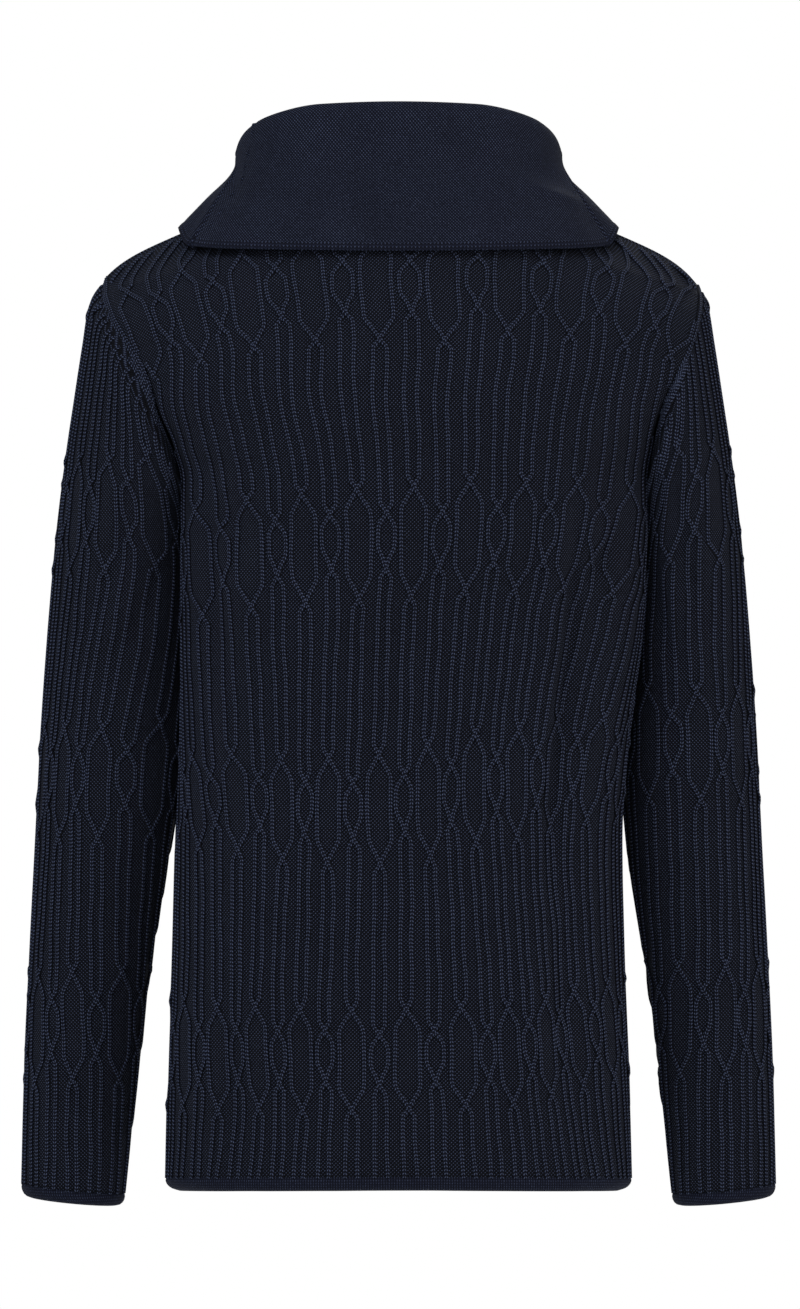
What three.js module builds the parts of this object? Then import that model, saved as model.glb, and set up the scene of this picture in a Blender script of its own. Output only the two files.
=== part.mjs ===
// A ribbed pullover with a deep turned-down collar, filled out as it is when worn.
// Millimetres, +Z up. The wearer faces +Y, so the back panel faces -Y, and +X is the wearer's right.
// The origin is the middle of the neck, level with the shoulders, where the garment is held up.
import * as THREE from "three";

// ---- driving sizes ----
const WALL = 2.8; // ribbed cloth: ground and raised ribs together
const COLLAR_WALL = 2.6; // plain cloth of the collar
const SEAM_GAP = 0.5; // between two panels that are sewn together
const ARMHOLE_GAP = 2.4; // panel edge to sleeve top, measured along the cloth
const BAND_HEIGHT = 8.5; // welt at the hem and at each cuff
const BAND_TURN_IN = 6; // how far the welt curls in at its edge
const NECK_HALF_WIDTH = 104;
const NECK_Y = -10; // depth of the shoulder seams at the neck
const NECK_POINT_Z = 8; // where each shoulder seam meets the neck
const SHOULDER_DROP = 43; // neck point to shoulder tip, on a straight slope
const SHOULDER_ROUNDING = 8; // how much further the tip itself falls
const FOLD_RADIUS = 3.4; // of the collar's turned edge
const FOLD_DEPTH = 4; // from the top of the fold to where both layers hang straight
const FOLD_SHARE = 0.55; // how far over the collar, from seam to free edge, the vents begin
const VENT_TURN = 8; // degrees that each collar vent leans back from the side seam
const VENT_GAP = 2.4; // how far the vent stands open at the free edge
const SECTION_ROUNDNESS = 0.88; // 1 is an ellipse, less is squarer
const SECTION_STEPS = 96;
const BAND_STEPS = [0, 0.25, 0.6, 1]; // shares of a welt's height, closer together at its seam

const PANEL_MESH = { across: 22, up: 20 };
const SLEEVE_MESH = { around: 20, along: 15 };
const COLLAR_MESH = { around: 20, over: 12 };

// Body sections, hem to shoulder. Each runs from one edge of the panel to the other: mid_z and mid_y are
// at the middle of the back or front, edge_z and edge_y at the side seam or armhole, left and right are
// the half widths, and turn is how far the cloth has turned, in degrees, where it meets the edge.
const SECTION_COLUMNS = ["mid_z", "edge_z", "left", "right", "edge_y", "mid_y", "turn"];
const BACK_SECTIONS = table(SECTION_COLUMNS, [
  [-666, -673, 162.5, 162.5, -12, -112, 90],
  [-600, -604, 161.0, 160.8, -12, -115, 90],
  [-525, -527, 158.0, 157.8, -12, -115, 90],
  [-437, -437, 155.5, 156.0, -12, -110, 90],
  [-385, -385, 153.0, 159.0, -12, -106, 90],
  [-300, -300, 152.0, 169.5, -12, -109, 90],
  [-240, -240, 152.0, 174.0, -12, -114, 90],
  [-190, -190, 152.0, 174.5, -12, -118, 90],
  [-160, -165, 157.0, 176.5, -38, -118, 84],
  [-128, -140, 167.0, 182.0, -58, -116, 74],
  [-98, -114, 174.5, 193.0, -66, -111, 64],
  [-70, -91, 188.0, 204.5, -60, -102, 58],
  [-45, -72, 199.0, 209.5, -47, -92, 54],
  [-22, -57, 204.5, 211.5, -28, -80, 52],
]);
const FRONT_SECTIONS = table(SECTION_COLUMNS, [
  [-676, -673, 162.5, 162.5, -12, 106, 90],
  [-606, -604, 161.0, 160.8, -12, 110, 90],
  [-527, -527, 158.0, 157.8, -12, 110, 90],
  [-437, -437, 155.5, 156.0, -12, 104, 90],
  [-385, -385, 153.0, 159.0, -12, 99, 90],
  [-300, -300, 152.0, 169.5, -12, 107, 90],
  [-240, -240, 152.0, 174.0, -12, 118, 90],
  [-190, -190, 152.0, 174.5, -12, 122, 90],
  [-164, -165, 156.0, 176.0, 16, 119, 84],
  [-139, -140, 164.0, 180.0, 34, 112, 74],
  [-117, -114, 171.0, 190.0, 38, 103, 64],
  [-97, -91, 185.0, 201.0, 32, 93, 58],
  [-79, -72, 197.0, 207.5, 21, 82, 54],
  [-62, -57, 203.5, 210.5, 7, 72, 52],
]);
const UNDERARM = 7; // the section where the side seam ends and the armhole begins
const SHOULDER_TIP = { left: 205, right: 210.5, y: -8 };

// Sleeve rings, armhole to cuff. outer is the shoulder side, inner the underarm side; clear is how far the
// inner edge lies outside the body's half width; y is the arm's centre and depth its half depth.
const SLEEVE_RINGS = table(
  ["outer_x", "outer_z", "inner_z", "clear", "y", "depth"],
  [
    [216.0, -64, -197, 1.4, -4, 63],
    [221.0, -92, -203, 1.6, 2, 66],
    [226.6, -126, -214, 1.0, 9, 67],
    [233.5, -170, -236, 0.2, 17, 66],
    [240.7, -226, -270, -0.6, 26, 62],
    [247.5, -300, -328, -1.2, 34, 58],
    [252.2, -366, -384, 0.4, 38, 55],
    [256.0, -440, -450, 6.8, 40, 51],
    [260.0, -515, -518, 15.0, 43, 46],
    [264.0, -595, -598, 22.0, 48, 40],
    [266.6, -682, -689, 31.2, 54, 35],
  ],
);

// Collar sections round the neck: 0 degrees is the middle of the back, 90 the side, 180 the front.
// Each section climbs from the neck seam to the fold and comes down through mid to the free edge.
const COLLAR_SECTIONS = table(
  ["angle", "fold_x", "fold_y", "fold_z", "mid_x", "mid_y", "mid_z", "edge_x", "edge_y", "edge_z"],
  [
    [0, 0, -76, 72.5, 0, -84, 28, 0, -92.5, -30],
    [30, 54, -68, 71.3, 58, -78, 27, 74, -86.5, -30],
    [60, 95.5, -43, 62, 101, -51, 28, 127, -64, -28],
    [80, 107, -20, 53, 113.5, -24, 31, 146.5, -36, -19],
    [90, 109, -6, 46, 114, -8, 30, 153, -13, -9.5],
    [110, 102, 20, 37, 110, 22, 14, 148, 25, -21],
    [145, 62, 54, 24, 70, 65, -14, 94, 87, -70],
    [180, 0, 66, 18, 0, 83, -28, 0, 103, -92],
  ],
);

// The largest folds of the body, as troughs (depth below 0) or ridges along a line of two ends. across is
// the share of the half section where the line runs, z its heights, and width the half width of the fold.
const FOLD_COLUMNS = ["across_0", "z_0", "across_1", "z_1", "depth", "width"];
const BACK_FOLDS = table(FOLD_COLUMNS, [
  [0.8, -130, 0.66, -520, -9, 0.06],
  [0.9, -170, 0.8, -480, 5, 0.07],
  [-0.84, -150, -0.74, -330, -5, 0.05],
  [-0.6, -560, -0.5, -680, -3, 0.08],
]);
const FRONT_FOLDS = table(FOLD_COLUMNS, [
  [-0.78, -150, -0.6, -430, -6, 0.07],
  [0.82, -160, 0.64, -400, -7, 0.06],
  [0.3, -420, 0.42, -640, -4, 0.09],
]);

// neck_z and neck_y are the middle of the neck seam, and outwards the way the panel faces along Y.
const BACK = { sections: BACK_SECTIONS, folds: BACK_FOLDS, neck_z: -4, neck_y: -62, outwards: -1 };
const FRONT = { sections: FRONT_SECTIONS, folds: FRONT_FOLDS, neck_z: -46, neck_y: 60, outwards: 1 };
const TOP_ROW = BACK_SECTIONS.length; // the neckline and shoulder seams, one row past the tables

// ---- small helpers ----
function table(columns, rows) {
  return rows.map((row) => Object.fromEntries(columns.map((name, i) => [name, row[i]])));
}

const mix = (a, b, t) => a + (b - a) * t;
const clamp = (value, low, high) => Math.min(high, Math.max(low, value));
const degrees = (value) => (value * Math.PI) / 180;
const flip = (grid) => grid.map((row) => [...row].reverse());

// A value of a table's column at a fractional row, on a smooth curve through the rows that turns back
// only where the rows do. It leaves the first and last rows straight on, or level where the garment's
// middle makes the curve its own mirror image.
function between(rows, column, at, levelEnds = false) {
  const i = clamp(Math.floor(at), 0, rows.length - 2);
  const t = at - i;
  const rise = (k) => rows[k + 1][column] - rows[k][column];
  const slope = (k) => {
    if (k === 0 || k === rows.length - 1) return levelEnds ? 0 : rise(Math.min(k, rows.length - 2));
    const [before, after] = [rise(k - 1), rise(k)];
    return before * after > 0 ? (2 * before * after) / (before + after) : 0;
  };
  const [start, end, climb] = [slope(i), slope(i + 1), rise(i)];
  const curve = start + t * (3 * climb - 2 * start - end + t * (start + end - 2 * climb));
  return rows[i][column] + t * curve;
}

// The point at a share of the length of a line of points.
function alongLine(points, share) {
  const lengths = [0];
  points.slice(1).forEach((p, i) => lengths.push(lengths[i] + p.distanceTo(points[i])));
  const wanted = clamp(share, 0, 1) * lengths.at(-1);
  const next = clamp(lengths.findIndex((length) => length >= wanted), 1, points.length - 1);
  const t = (wanted - lengths[next - 1]) / (lengths[next] - lengths[next - 1]);
  return points[next - 1].clone().lerp(points[next], t);
}

// ---- body ----
function foldDepth(folds, across, z) {
  return folds.reduce((sum, fold) => {
    const t = (fold.z_0 - z) / (fold.z_0 - fold.z_1);
    const along = Math.sin(Math.PI * clamp(t, 0, 1));
    const away = (across - mix(fold.across_0, fold.across_1, t)) / fold.width;
    return sum + fold.depth * along * Math.exp(-away * away);
  }, 0);
}

// The neckline and shoulder seams: the panel's top edge at a distance x from the middle.
function topEdge(panel, x) {
  const away = Math.abs(x);
  const hollow = 1 - Math.min(1, away / NECK_HALF_WIDTH) ** 2;
  const run = Math.max(0, away - NECK_HALF_WIDTH) / (SHOULDER_TIP.left - NECK_HALF_WIDTH);
  return new THREE.Vector3(
    x,
    mix(NECK_Y, panel.neck_y, Math.sqrt(hollow)) + (SHOULDER_TIP.y - NECK_Y) * run,
    mix(NECK_POINT_Z, panel.neck_z, hollow) - SHOULDER_DROP * run - SHOULDER_ROUNDING * run ** 8,
  );
}

// One body section as a line of points from edge to edge, on the outside of the cloth.
function sectionLine(panel, at) {
  const level = (turned, power) => Math.max(Math.cos(turned), 0) ** power;
  const row = Object.fromEntries(
    SECTION_COLUMNS.map((name) => [name, between(panel.sections, name, Math.min(at, TOP_ROW - 1))]),
  );
  const edge = degrees(row.turn);
  const power = mix(1, SECTION_ROUNDNESS, clamp((row.turn - 50) / 40, 0, 1));
  const line = [];
  for (let i = 0; i <= SECTION_STEPS; i++) {
    const across = (2 * i) / SECTION_STEPS - 1;
    const [half, tip] = across < 0 ? [row.left, SHOULDER_TIP.left] : [row.right, SHOULDER_TIP.right];
    const out = (Math.sin(edge * Math.abs(across)) / Math.sin(edge)) ** power;
    const round = (1 - level(edge * Math.abs(across), power)) / (1 - level(edge, power));
    const point = new THREE.Vector3(
      Math.sign(across) * out * half,
      mix(row.mid_y, row.edge_y, round),
      mix(row.mid_z, row.edge_z, Math.abs(across) ** 1.6),
    );
    const outwards = new THREE.Vector3(point.x / half, panel.outwards * (1 - round), 0).normalize();
    point.addScaledVector(outwards, foldDepth(panel.folds, across, row.mid_z));
    if (at > TOP_ROW - 1) point.lerp(topEdge(panel, (point.x / half) * tip), at - TOP_ROW + 1);
    line.push(point);
  }
  return line;
}

// A row of a panel's grid: its section shared out evenly, short of both edges by half a seam's gap.
function panelRow(panel, at) {
  const line = sectionLine(panel, at);
  const length = line.slice(1).reduce((sum, p, i) => sum + p.distanceTo(line[i]), 0);
  const inset = (at > UNDERARM ? ARMHOLE_GAP : SEAM_GAP / 2) / length;
  const row = [];
  for (let i = 0; i <= PANEL_MESH.across; i++) {
    row.push(alongLine(line, mix(inset, 1 - inset, i / PANEL_MESH.across)));
  }
  return row;
}

function panelGrid(panel) {
  const rows = [];
  for (let j = 0; j <= PANEL_MESH.up; j++) rows.push(panelRow(panel, (j / PANEL_MESH.up) * TOP_ROW));
  rows.at(-1).forEach((point) => {
    point.y += (panel.outwards * SEAM_GAP) / 2;
    point.z -= SEAM_GAP / 2;
  });
  return rows;
}

// The welt carries a panel's lowest section on down and curls in at its edge.
function hemGrid(panel) {
  return BAND_STEPS.map((t) =>
    panelRow(panel, 0).map((point) => {
      const inwards = new THREE.Vector3(-point.x, -point.y, 0).normalize();
      point.addScaledVector(inwards, BAND_TURN_IN * t ** 3);
      point.z -= SEAM_GAP + BAND_HEIGHT * t;
      return point;
    }),
  ).reverse();
}

// ---- sleeves ----
// One edge of a panel from the shoulder tip to the underarm; side is -1 for the wearer's left.
function armholeLine(panel, side) {
  const line = [];
  for (let at = TOP_ROW; at >= UNDERARM; at -= 0.25) {
    line.push(sectionLine(panel, at).at(side < 0 ? 0 : -1));
  }
  return line;
}

function bodyHalfWidth(side, z) {
  const next = Math.max(1, BACK_SECTIONS.findIndex((row) => row.mid_z >= z));
  const [low, high] = [BACK_SECTIONS[next - 1], BACK_SECTIONS[next]];
  const column = side < 0 ? "left" : "right";
  const t = clamp((z - low.mid_z) / (high.mid_z - low.mid_z), 0, 1);
  return mix(low[column], high[column], t);
}

// A point of a sleeve ring. turn is 0 at the shoulder side, 90 degrees at the back and 180 at the
// underarm; drop lowers the ring and shrink draws it in, for the welt.
function ringPoint(side, ring, turn, drop = 0, shrink = 0) {
  const inner = bodyHalfWidth(side, ring.inner_z) + ring.clear;
  const middle = new THREE.Vector3((ring.outer_x + inner) / 2, ring.y, (ring.outer_z + ring.inner_z) / 2);
  const reach = new THREE.Vector3((ring.outer_x - inner) / 2, 0, (ring.outer_z - ring.inner_z) / 2);
  reach.setLength(reach.length() - shrink);
  const point = middle.addScaledVector(reach, Math.cos(turn));
  point.y -= (ring.depth - shrink) * Math.sin(turn);
  point.z -= drop;
  point.x *= side;
  return point;
}

function sleeveTurns() {
  const turns = [];
  for (let i = 0; i < SLEEVE_MESH.around; i++) turns.push(degrees((360 * i) / SLEEVE_MESH.around - 180));
  return turns;
}

// Each column runs from the armhole through the rings to the wrist.
function sleeveGrid(side) {
  const armhole = { back: armholeLine(BACK, side), front: armholeLine(FRONT, side) };
  const columns = sleeveTurns().map((turn) => {
    const rings = SLEEVE_RINGS.map((ring) => ringPoint(side, ring, turn));
    const seam = alongLine(turn < 0 ? armhole.front : armhole.back, Math.abs(turn) / Math.PI);
    const start = seam.clone().lerp(rings[0], Math.min(1, ARMHOLE_GAP / seam.distanceTo(rings[0])));
    return [start, ...rings];
  });
  const rows = [];
  for (let j = 0; j <= SLEEVE_MESH.along; j++) {
    const at = (j / SLEEVE_MESH.along) * SLEEVE_RINGS.length;
    const point = (column) => ["x", "y", "z"].map((axis) => between(column, axis, at));
    rows.push(columns.map((column) => new THREE.Vector3(...point(column))));
  }
  return side < 0 ? flip(rows) : rows;
}

function cuffGrid(side) {
  const ring = SLEEVE_RINGS.at(-1);
  const rows = BAND_STEPS.map((t) => {
    const drop = 1.4 * SEAM_GAP + BAND_HEIGHT * t;
    return sleeveTurns().map((turn) => ringPoint(side, ring, turn, drop, BAND_TURN_IN * t ** 3));
  });
  return side < 0 ? flip(rows) : rows;
}

// ---- collar ----
// One section of the collar as a smooth line from the neck seam over the fold to the free edge. angle
// is its way round the neck: 0 at the middle of the back, 90 at the wearer's right, -90 at the left.
function collarLine(panel, angle) {
  const at = collarRow(Math.abs(angle));
  const get = (name) => between(COLLAR_SECTIONS, name, at, !name.endsWith("_x"));
  const spot = (name) => new THREE.Vector3(get(`${name}_x`), get(`${name}_y`), get(`${name}_z`));
  const turned = degrees(Math.abs(angle));
  const outwards = new THREE.Vector3(Math.sin(turned), -Math.cos(turned), 0);
  const seam = topEdge(panel, NECK_HALF_WIDTH * Math.sin(turned)).addScaledVector(outwards, -WALL / 2);
  seam.z += 1.6 * SEAM_GAP;
  const [fold, middle, edge] = [spot("fold"), spot("mid"), spot("edge")];
  const beside = (distance) => fold.clone().addScaledVector(outwards, distance).setZ(fold.z - FOLD_DEPTH);
  const [inside, outside] = [beside(-FOLD_RADIUS), beside(FOLD_RADIUS)];
  const halfWay = (a, b) => a.clone().lerp(b, 0.5);
  const route = [seam, halfWay(seam, inside), inside, fold, outside, middle, halfWay(middle, edge), edge];
  if (angle < 0) route.forEach((point) => (point.x *= -1));
  return new THREE.CatmullRomCurve3(route, false, "centripetal");
}

function collarRow(angle) {
  const next = clamp(COLLAR_SECTIONS.findIndex((row) => row.angle >= angle), 1, COLLAR_SECTIONS.length - 1);
  const [low, high] = [COLLAR_SECTIONS[next - 1], COLLAR_SECTIONS[next]];
  return next - 1 + (angle - low.angle) / (high.angle - low.angle);
}

// The side seam runs straight up the stand. Down the flap it leans back, and is open there as a vent.
function collarGrid(panel) {
  const rows = [];
  for (let j = 0; j <= COLLAR_MESH.over; j++) {
    const over = j / COLLAR_MESH.over;
    const down = clamp((over - FOLD_SHARE) / (1 - FOLD_SHARE), 0, 1);
    const seam = 90 - VENT_TURN * down;
    const row = [];
    for (let i = 0; i <= COLLAR_MESH.around; i++) {
      const share = (2 * i) / COLLAR_MESH.around - 1;
      const fromFront = (180 - seam) * share;
      const angle = panel === BACK ? seam * share : fromFront - 180 * (Math.sign(fromFront) || 1);
      row.push(collarLine(panel, angle).getPoint(over));
    }
    const gap = mix(SEAM_GAP, VENT_GAP, down);
    pullIn(row, 0, 1, gap / 2);
    pullIn(row, COLLAR_MESH.around, COLLAR_MESH.around - 1, gap / 2);
    rows.push(row);
  }
  return rows;
}

function pullIn(row, at, neighbour, distance) {
  row[at].lerp(row[neighbour], distance / row[at].distanceTo(row[neighbour]));
}

// ---- walls ----
// A closed wall from a grid of points on its outer face; shift moves the whole wall outwards first, and
// isSeam says which of the grid's points lie on a seam with the opposite panel, where both walls stand
// square to the depth so that neither leans into the other.
function wallGeometry(grid, thickness, { round = false, shift = 0, isSeam = () => false } = {}) {
  const up = grid.length;
  const across = grid[0].length;
  const at = (j, i) => grid[clamp(j, 0, up - 1)][round ? (i + across) % across : clamp(i, 0, across - 1)];
  const normals = grid.map((row, j) =>
    row.map((_, i) => {
      const along = at(j + 1, i).clone().sub(at(j - 1, i));
      const normal = at(j, i + 1).clone().sub(at(j, i - 1)).cross(along).normalize();
      if (isSeam(j, i)) normal.setY(0).normalize();
      return normal;
    }),
  );
  const positions = [];
  const layer = (offset) =>
    grid.forEach((row, j) =>
      row.forEach((p, i) => positions.push(...p.clone().addScaledVector(normals[j][i], offset).toArray())),
    );
  layer(shift);
  layer(shift - thickness);
  const index = [];
  const outer = (j, i) => j * across + (round ? i % across : i);
  const inner = (j, i) => outer(j, i) + up * across;
  const quad = (a, b, c, d) => index.push(a, b, c, a, c, d);
  const last = round ? across : across - 1;
  for (let j = 0; j < up - 1; j++) {
    for (let i = 0; i < last; i++) {
      quad(outer(j, i), outer(j, i + 1), outer(j + 1, i + 1), outer(j + 1, i));
      quad(inner(j, i + 1), inner(j, i), inner(j + 1, i), inner(j + 1, i + 1));
    }
    if (!round) {
      quad(inner(j, 0), outer(j, 0), outer(j + 1, 0), inner(j + 1, 0));
      quad(outer(j, last), inner(j, last), inner(j + 1, last), outer(j + 1, last));
    }
  }
  for (let i = 0; i < last; i++) {
    quad(outer(0, i + 1), outer(0, i), inner(0, i), inner(0, i + 1));
    quad(outer(up - 1, i), outer(up - 1, i + 1), inner(up - 1, i + 1), inner(up - 1, i));
  }
  const geometry = new THREE.BufferGeometry();
  geometry.setAttribute("position", new THREE.Float32BufferAttribute(positions, 3));
  geometry.setIndex(index);
  geometry.computeVertexNormals();
  return geometry;
}

function knit(name, colour) {
  return new THREE.MeshStandardMaterial({ name, color: colour, roughness: 0.85, metalness: 0 });
}

const ribbed = knit("ribbed navy knit", 0x1f2736);
const plain = knit("plain navy knit", 0x20283a);
const welt = knit("navy welt", 0x1b2230);

const garment = new THREE.Group();
function add(name, grid, thickness, material, options) {
  const piece = new THREE.Mesh(wallGeometry(grid, thickness, options), material);
  piece.name = name;
  garment.add(piece);
}

// Where a grid meets the opposite panel: at both sides, and for a panel also along its shoulder seams.
function sideSeams(grid) {
  const last = grid[0].length - 1;
  return { isSeam: (j, i) => i === 0 || i === last };
}
function panelSeams(grid) {
  const last = grid[0].length - 1;
  const onShoulder = (j, i) => j === grid.length - 1 && Math.abs(grid[j][i].x) > NECK_HALF_WIDTH - 2;
  return { isSeam: (j, i) => i === 0 || i === last || onShoulder(j, i) };
}

const back = panelGrid(BACK);
const front = flip(panelGrid(FRONT));
add("back", back, WALL, ribbed, panelSeams(back));
add("front", front, WALL, ribbed, panelSeams(front));
const hemBack = hemGrid(BACK);
const hemFront = flip(hemGrid(FRONT));
add("hem_back", hemBack, WALL, welt, sideSeams(hemBack));
add("hem_front", hemFront, WALL, welt, sideSeams(hemFront));
for (const [name, side] of [
  ["left", -1],
  ["right", 1],
]) {
  add(`sleeve_${name}`, sleeveGrid(side), WALL, ribbed, { round: true });
  add(`cuff_${name}`, cuffGrid(side), WALL, welt, { round: true });
}
for (const [name, grid] of [
  ["collar_back", collarGrid(BACK)],
  ["collar_front", collarGrid(FRONT)],
]) {
  add(name, grid, COLLAR_WALL, plain, { shift: COLLAR_WALL / 2, ...sideSeams(grid) });
}

export default garment;
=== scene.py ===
# %% [markdown]
# # A ribbed pullover with a deep turned-down collar
#
# The garment is filled out as it is when worn. Its solids already hold its cut, in one frame with the
# physics model: the wearer faces +Y, +X is the wearer's right, and the origin is the middle of the neck.
# Here each solid gets a knitted skin that lies on the same form: thin sheets of cloth, the raised ribs
# that travel over them, a plain collar and the welts. Sizes are in millimetres until a mesh is written.

# %% Load the frame
import functools
import math

import bmesh
import bpy
import numpy as np
from mathutils import Matrix, Vector


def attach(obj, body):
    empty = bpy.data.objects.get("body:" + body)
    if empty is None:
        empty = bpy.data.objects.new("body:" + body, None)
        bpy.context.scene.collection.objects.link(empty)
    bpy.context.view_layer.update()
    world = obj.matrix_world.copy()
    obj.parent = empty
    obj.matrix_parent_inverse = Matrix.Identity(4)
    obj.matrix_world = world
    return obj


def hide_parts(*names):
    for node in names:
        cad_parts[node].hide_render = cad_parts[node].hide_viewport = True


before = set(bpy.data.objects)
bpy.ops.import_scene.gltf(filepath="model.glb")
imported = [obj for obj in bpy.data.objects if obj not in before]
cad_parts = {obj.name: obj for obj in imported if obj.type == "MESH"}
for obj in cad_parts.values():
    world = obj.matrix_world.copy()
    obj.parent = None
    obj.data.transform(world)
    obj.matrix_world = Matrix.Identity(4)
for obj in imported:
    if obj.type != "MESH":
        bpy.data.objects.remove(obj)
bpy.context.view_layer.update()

MM = 0.001

# %% [markdown]
# ## The camera
#
# The garment is seen square on from behind, from a long way off, so that its sides stay parallel. A long
# lens at five metres does that. The camera stands level with the middle of the garment.

# %% The camera
VIEW_DISTANCE = 5.0
VIEW_CENTRE = (0.00105, -0.30765)  # x and z that the camera looks at
FRAME_HEIGHT = 0.9163  # metres of the garment's plane from the top of the view to its bottom

lens = bpy.data.cameras.new("long lens")
lens.sensor_width = 36
lens.lens = lens.sensor_width * VIEW_DISTANCE / FRAME_HEIGHT
camera = bpy.data.objects.new("camera", lens)
camera.location = (VIEW_CENTRE[0], -VIEW_DISTANCE, VIEW_CENTRE[1])
camera.rotation_euler = (math.radians(90), 0, 0)
bpy.context.scene.collection.objects.link(camera)
bpy.context.scene.camera = camera
print(f"lens {lens.lens:.1f} mm at {VIEW_DISTANCE} m")

# %% [markdown]
# ## Curves through a table
#
# A garment's shape is a short table of sections, and the cloth runs smoothly from one to the next. The
# curve used here turns back only where the table does, so the cloth never bulges between two sections.


# %% Tables and curves
def table(names, rows):
    """Rows of numbers under named columns, as one array for each name."""
    return dict(zip(names.split(), np.array(rows, float).T))


def mix(a, b, share):
    return a + (b - a) * share


def between(values, at, level_ends=False):
    """Reads a column of values, or of points, at fractional rows, on a smooth curve through the rows."""
    values = np.asarray(values, float)
    at = np.asarray(at, float)
    rise = np.diff(values, axis=0)
    total = rise[:-1] + rise[1:]
    turns = rise[:-1] * rise[1:] <= 0
    inner = np.where(turns, 0, 2 * rise[:-1] * rise[1:] / np.where(turns, 1, total))
    ends = 0 if level_ends else 1
    slope = np.concatenate([rise[:1] * ends, inner, rise[-1:] * ends])
    i = np.clip(np.floor(at).astype(int), 0, len(values) - 2)
    t = (at - i).reshape(at.shape + (1,) * (values.ndim - 1))
    leave, arrive, step = slope[i], slope[i + 1], rise[i]
    return values[i] + t * (leave + t * (3 * step - 2 * leave - arrive + t * (leave + arrive - 2 * step)))


# %% [markdown]
# ## A sheet of cloth
#
# Every piece is first a fine grid of points on its outer face. u is the share of the way across the
# piece and v the share of the way along it. The grid knows which way is out, how far apart its points
# are measured along the cloth, and how far along the knitting each point lies (its course). Meshes and
# ribs are then laid on it by u, v and a lift above the face, so that they all share one surface.


# %% The cloth surface
class Cloth:
    """A smooth sheet as a grid of points: its rows follow each other in v, and each runs across in u."""

    def __init__(self, points, middle, course, closed=False):
        self.middle = middle
        self.course = course
        self.closed = closed
        self.shape_to(points)

    def shape_to(self, points):
        """Takes new points, and works out anew which way is out and how far apart they are."""
        self.points = points
        ring = np.concatenate([points[:, -2:-1], points, points[:, 1:2]], axis=1)
        across = ring[:, 2:] - ring[:, :-2] if self.closed else np.gradient(points, axis=1)
        normal = np.cross(across, np.gradient(points, axis=0))
        self.normals = normal / np.maximum(np.linalg.norm(normal, axis=2, keepdims=True), 1e-9)
        steps = np.linalg.norm(np.diff(points, axis=1), axis=2)
        reach = np.concatenate([np.zeros((len(points), 1)), np.cumsum(steps, axis=1)], axis=1)
        self.start = self.read_rows(reach, self.middle)
        self.across = reach - self.start[:, None]
        self.width = reach[:, -1]
        rises = np.linalg.norm(np.diff(points, axis=0), axis=2)
        self.along = np.concatenate([np.zeros((1, points.shape[1])), np.cumsum(rises, axis=0)])

    def read_rows(self, field, u):
        """A field at the same share u of every row."""
        place = np.clip(u, 0, 1) * (field.shape[1] - 1)
        i = min(int(place), field.shape[1] - 2)
        return mix(field[:, i], field[:, i + 1], place - i)

    def read(self, field, u, v):
        """A field at any u and v, straight between the grid's points."""
        u, v = np.broadcast_arrays(np.asarray(u, float), np.asarray(v, float))
        x = np.clip(u, 0, 1) * (field.shape[1] - 1)
        y = np.clip(v, 0, 1) * (field.shape[0] - 1)
        i = np.minimum(x.astype(int), field.shape[1] - 2)
        j = np.minimum(y.astype(int), field.shape[0] - 2)
        extra = (1,) * (field.ndim - 2)
        x = (x - i).reshape(x.shape + extra)
        y = (y - j).reshape(y.shape + extra)
        return mix(mix(field[j, i], field[j, i + 1], x), mix(field[j + 1, i], field[j + 1, i + 1], x), y)

    def place(self, u, v, lift):
        """The points at any u and v, lifted above the face."""
        return self.read(self.points, u, v) + self.read(self.normals, u, v) * lift[..., None]

    def width_at(self, v):
        """How wide the piece is at any v, measured along the cloth."""
        return np.interp(v, np.linspace(0, 1, len(self.width)), self.width)

    def share(self, distance, v):
        """The u that lies a distance from the piece's middle line, measured along the cloth."""
        start = np.interp(v, np.linspace(0, 1, len(self.start)), self.start)
        return (distance + start) / self.width_at(v)


# %% [markdown]
# ## The body panels
#
# Back and front are two knitted panels. Each section below runs from one side seam to the other:
# its height and depth at the middle and at the edge, its half widths, and how far the cloth has turned
# where it meets the edge. These are the sizes of the solids, read here as a smooth surface.

# %% The body's sections
SECTION_COLUMNS = "mid_z edge_z left right edge_y mid_y turn"
BACK_SECTIONS = table(SECTION_COLUMNS, [
    [-666, -673, 162.5, 162.5, -12, -112, 90],
    [-600, -604, 161.0, 160.8, -12, -115, 90],
    [-525, -527, 158.0, 157.8, -12, -115, 90],
    [-437, -437, 155.5, 156.0, -12, -110, 90],
    [-385, -385, 153.0, 159.0, -12, -106, 90],
    [-300, -300, 152.0, 169.5, -12, -109, 90],
    [-240, -240, 152.0, 174.0, -12, -114, 90],
    [-190, -190, 152.0, 174.5, -12, -118, 90],
    [-160, -165, 157.0, 176.5, -38, -118, 84],
    [-128, -140, 167.0, 182.0, -58, -116, 74],
    [-98, -114, 174.5, 193.0, -66, -111, 64],
    [-70, -91, 188.0, 204.5, -60, -102, 58],
    [-45, -72, 199.0, 209.5, -47, -92, 54],
    [-22, -57, 204.5, 211.5, -28, -80, 52],
])
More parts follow.
